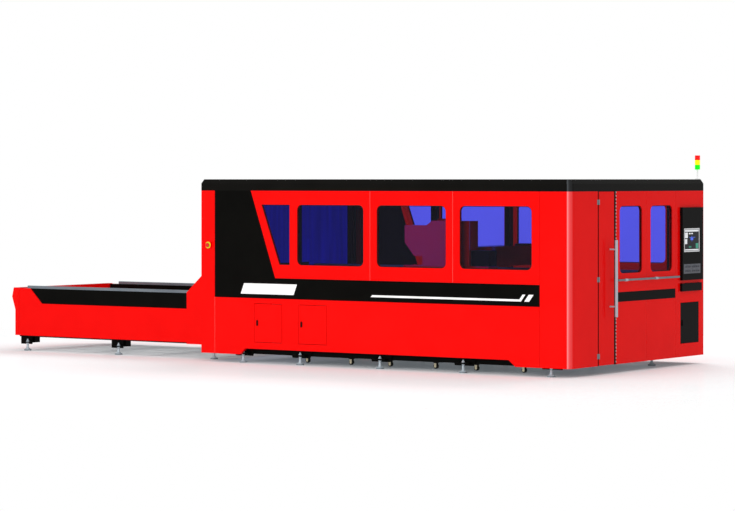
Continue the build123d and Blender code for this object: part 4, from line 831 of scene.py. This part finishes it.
def foot_nuts():
    """Hexagon nuts and washers on the studs, above and below the plates that they carry."""
    bm = bmesh.new()
    nut = [
        (NUT_RADIUS - NUT_BEVEL, 0.0),
        (NUT_RADIUS, NUT_BEVEL),
        (NUT_RADIUS, NUT_HEIGHT - NUT_BEVEL),
        (NUT_RADIUS - NUT_BEVEL, NUT_HEIGHT),
    ]
    washer = [
        (WASHER_RADIUS, 0.0),
        (WASHER_RADIUS, WASHER_HEIGHT / 2),
        (WASHER_RADIUS - WASHER_HEIGHT / 2, WASHER_HEIGHT),
    ]
    for x, y in stud_spots:
        bottom, top = LEG_PLATE if x < LEFT_X else BED_PLATE
        for height, way in ((top, 1), (bottom, -1)):
            turned(bm, (x, y, height), (0, 0, way), washer)
            turned(bm, (x, y, height + way * WASHER_HEIGHT), (0, 0, way), nut, NUT_SIDES)
    finish_piece("foot_nuts", bm, FOOT_STEEL, "machine")


def foot_necks():
    """Necks between pad and nut."""
    bm = bmesh.new()
    for x, y in stud_spots:
        turned(bm, (x, y, 0.0), (0, 0, 1), NECK)
    finish_piece("foot_necks", bm, FOOT_STEEL, "machine", smooth=True)


def castor_straps():
    """Straps with a chamfered foot on both cheeks of each castor."""
    bm = bmesh.new()
    low, high = STRAP_HEIGHTS
    strap = [
        (-STRAP_HALF, low + STRAP_CHAMFER),
        (STRAP_CHAMFER - STRAP_HALF, low),
        (STRAP_HALF - STRAP_CHAMFER, low),
        (STRAP_HALF, low + STRAP_CHAMFER),
        (STRAP_HALF, high),
        (-STRAP_HALF, high),
    ]
    for wheel in islands("cart_castors"):
        x = middle(p.x for p in wheel)
        outline = [(x + u, v) for u, v in strap]
        near_depth = NEAR_Y - min(p.y for p in wheel)
        far_depth = max(p.y for p in wheel) - FAR_Y
        for wall, depth in (("near", near_depth), ("far", far_depth)):
            prism(bm, wall, outline, depth - FILM_ROOT, depth + STRAP_SHEET)
    finish_piece("castor_straps", bm, BRASS, "machine")


foot_nuts()
foot_necks()
castor_straps()

# Exchange table and brackets of the feet
table_low, table_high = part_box("table_side_panels")


def table_sills():
    """Dark sills under the side panels."""
    bm = bmesh.new()
    sill = box_points(
        table_low.x + SILL_ENDS[0],
        LEFT_X - SILL_ENDS[1],
        TABLE_BOTTOM - SILL_HEIGHT,
        TABLE_BOTTOM - FILM_ROOT,
    )
    for wall, edge in (("near", table_low.y - NEAR_Y), ("far", FAR_Y - table_high.y)):
        prism(bm, wall, sill, -edge - SILL_DEPTHS[1], -edge - SILL_DEPTHS[0])
    finish_piece("table_sills", bm, BLACK, "machine")


def leg_upright(x):
    bottom = LEG_PLATE[0] - LEG_DROP
    return box_points(x + LEG_SPAN[0], x + LEG_SPAN[1], bottom, TABLE_BOTTOM - LEG_FOLD)


def bracket_upright(x):
    bottom = BED_PLATE[0] - BRACKET_DROP
    return [
        (x - BRACKET_HALF, bottom),
        (x + BRACKET_HALF, bottom),
        (x + BRACKET_HALF + BRACKET_SLANT, BRACKET_TOP),
        (x - BRACKET_HALF - BRACKET_SLANT, BRACKET_TOP),
    ]


def foot_uprights():
    """Upright plates of the leg and foot brackets, behind the studs."""
    bm = bmesh.new()
    table_middle = (table_low.y + table_high.y) / 2
    for x, y in stud_spots:
        wall, depth = ("near", y - NEAR_Y) if y < table_middle else ("far", FAR_Y - y)
        if x < LEFT_X:
            depth += LEG_SET_BACK
            upright = leg_upright(x)
        else:
            depth += BRACKET_SET_BACK
            upright = bracket_upright(x)
        prism(bm, wall, upright, -depth - UPRIGHT_SHEET, -depth)
    finish_piece("foot_uprights", bm, BLACK, "machine")


table_sills()
foot_uprights()

# Emergency stop
disc_low, disc_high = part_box("stop_plate")
STOP_X = (disc_low.x + disc_high.x) / 2
STOP_Z = (disc_low.z + disc_high.z) / 2


def stop_disc():
    bm = bmesh.new()
    disc = [
        (DISC_RADIUS, -FILM_ROOT),
        (DISC_RADIUS, DISC_HEIGHT / 2),
        (DISC_RADIUS - DISC_HEIGHT / 2, DISC_HEIGHT),
    ]
    turned(bm, (STOP_X, disc_low.y, STOP_Z), (0, -1, 0), disc, DISC_STEPS)
    finish_piece("stop_disc", bm, YELLOW, "machine")


def stop_head():
    bm = bmesh.new()
    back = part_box("stop_button")[0].y + CAP_HEAD_BACK
    turned(bm, (STOP_X, back, STOP_Z), (0, -1, 0), CAP_HEAD, CAP_HEAD_STEPS)
    finish_piece("stop_head", bm, STOP_RED, "stop_button", smooth=True)


stop_disc()
stop_head()


# Grab rail
def rail_sleeves():
    """Sleeves of the grab rail at its posts."""
    bm = bmesh.new()
    rail_low, rail_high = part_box("grab_rail")
    sleeve = [
        (SLEEVE_RADIUS - SLEEVE_BEVEL, -SLEEVE_HALF),
        (SLEEVE_RADIUS, SLEEVE_BEVEL - SLEEVE_HALF),
        (SLEEVE_RADIUS, SLEEVE_HALF - SLEEVE_BEVEL),
        (SLEEVE_RADIUS - SLEEVE_BEVEL, SLEEVE_HALF),
    ]
    rail_radius = (rail_high.z - rail_low.z) / 2
    rail_x = rail_high.x - rail_radius
    rail_z = (rail_low.z + rail_high.z) / 2
    for share in SLEEVE_SHARES:
        y = share_of((rail_low.y, rail_high.y), share)
        turned(bm, (rail_x, y, rail_z), (0, 1, 0), sleeve)
    finish_piece("rail_sleeves", bm, BRIGHT, "machine", smooth=True)


rail_sleeves()

# Stage: pale floor that fades into the white ground
FLOOR_HALF = 30.0
FLOOR_DROP = 0.0005
FLOOR_FADE = (5.0, 9.0)
FLOOR_TONES = ((0.84, 0.84, 0.84), (0.86, 0.86, 0.86))
FLOOR_NOISE = 0.6
FLOOR_ROUGHNESS = 0.12
FLOOR_MIRROR = 0.1
FLOOR_LIFT = 0.12
FLOOR_LIFT_TINT = (0.82, 0.92, 1.0, 1.0)


def floor_material():
    """Pale floor, a little glossy and lifted, clear far from the part."""
    mat, tree, shader = new_material("pale_floor")
    tree.nodes.remove(shader)
    ramp = noise_ramp(tree, FLOOR_NOISE, *FLOOR_TONES)[2]
    matt = tree.nodes.new("ShaderNodeBsdfDiffuse")
    tree.links.new(ramp.outputs["Color"], matt.inputs["Color"])
    glossy = mirror_mix(tree, matt.outputs["BSDF"], FLOOR_ROUGHNESS, FLOOR_MIRROR)
    lift = tree.nodes.new("ShaderNodeEmission")
    lift.inputs["Color"].default_value = FLOOR_LIFT_TINT
    lift.inputs["Strength"].default_value = FLOOR_LIFT
    lifted = tree.nodes.new("ShaderNodeAddShader")
    tree.links.new(glossy, lifted.inputs[0])
    tree.links.new(lift.outputs["Emission"], lifted.inputs[1])
    coords = tree.nodes.new("ShaderNodeTexCoord")
    length = tree.nodes.new("ShaderNodeVectorMath")
    length.operation = "LENGTH"
    tree.links.new(coords.outputs["Object"], length.inputs[0])
    clear = tree.nodes.new("ShaderNodeBsdfTransparent")
    mix = shader_mix(tree, lifted.outputs["Shader"], clear.outputs["BSDF"])
    tree.links.new(smooth_range(tree, length.outputs["Value"], *FLOOR_FADE), mix.inputs["Fac"])
    tree.links.new(mix.outputs["Shader"], tree.nodes["Material Output"].inputs["Surface"])
    return mat


def pale_floor():
    bm = bmesh.new()
    bmesh.ops.create_grid(bm, x_segments=1, y_segments=1, size=FLOOR_HALF)
    mesh = bpy.data.meshes.new("floor")
    bm.to_mesh(mesh)
    bm.free()
    mesh.materials.append(floor_material())
    floor = bpy.data.objects.new("floor", mesh)
    floor.location = (0.0, 0.0, -FLOOR_DROP)
    bpy.context.scene.collection.objects.link(floor)
    floor.visible_glossy = False


pale_floor()

# White studio: even light, dimmer where paint and metal mirror it
AMBIENT = 0.8
MIRRORED = 0.45
KEY_SPOT = (1.5, -15.0, 5.0)
KEY_TARGET = (0.0, 0.0, 1.0)
KEY_POWER = 1150.0
TOP_SPOT = (0.5, 7.0, 9.5)
TOP_TARGET = (0.0, 0.0, 0.0)
TOP_POWER = 700.0
SOFTBOX_SIZE = (12.0, 5.0)


def studio_world():
    world = bpy.data.worlds.new("studio")
    world.use_nodes = True
    tree = world.node_tree
    back = tree.nodes["Background"]
    back.inputs["Color"].default_value = (1.0, 1.0, 1.0, 1.0)
    path = tree.nodes.new("ShaderNodeLightPath")
    level = tree.nodes.new("ShaderNodeMapRange")
    level.inputs["To Min"].default_value = AMBIENT
    level.inputs["To Max"].default_value = 1.0
    tree.links.new(path.outputs["Is Camera Ray"], level.inputs["Value"])
    choice = tree.nodes.new("ShaderNodeMix")
    choice.inputs["B"].default_value = MIRRORED
    tree.links.new(path.outputs["Is Glossy Ray"], choice.inputs["Factor"])
    tree.links.new(level.outputs["Result"], choice.inputs["A"])
    tree.links.new(choice.outputs["Result"], back.inputs["Strength"])
    return world


def softbox(name, spot, target, power):
    data = bpy.data.lights.new(name, "AREA")
    data.shape = "RECTANGLE"
    data.size, data.size_y = SOFTBOX_SIZE
    data.energy = power
    lamp = bpy.data.objects.new(name, data)
    lamp.location = spot
    lamp.rotation_euler = (Vector(target) - Vector(spot)).to_track_quat("-Z", "Y").to_euler()
    lamp.visible_glossy = False
    bpy.context.scene.collection.objects.link(lamp)


bpy.context.scene.world = studio_world()
softbox("key", KEY_SPOT, KEY_TARGET, KEY_POWER)
softbox("top", TOP_SPOT, TOP_TARGET, TOP_POWER)

# Camera of the photograph
CAMERA_SPOT = (END_X + 15.517, NEAR_Y - 26.212, 2.20)
CAMERA_TILT = 90.0
CAMERA_TURN = 34.835
CAMERA_SENSOR = 36.0
CAMERA_LENS = 134.76
CAMERA_SHIFT = -0.1037
CAMERA_REACH = 200.0
camera_data = bpy.data.cameras.new("photo_view")
camera_data.sensor_fit = "HORIZONTAL"
camera_data.sensor_width = CAMERA_SENSOR
camera_data.lens = CAMERA_LENS
camera_data.shift_y = CAMERA_SHIFT
camera_data.clip_end = CAMERA_REACH
camera = bpy.data.objects.new("photo_view", camera_data)
camera.location = CAMERA_SPOT
camera.rotation_euler = (math.radians(CAMERA_TILT), 0.0, math.radians(CAMERA_TURN))
bpy.context.scene.collection.objects.link(camera)
bpy.context.scene.camera = camera
bpy.context.scene.view_settings.view_transform = "Standard"
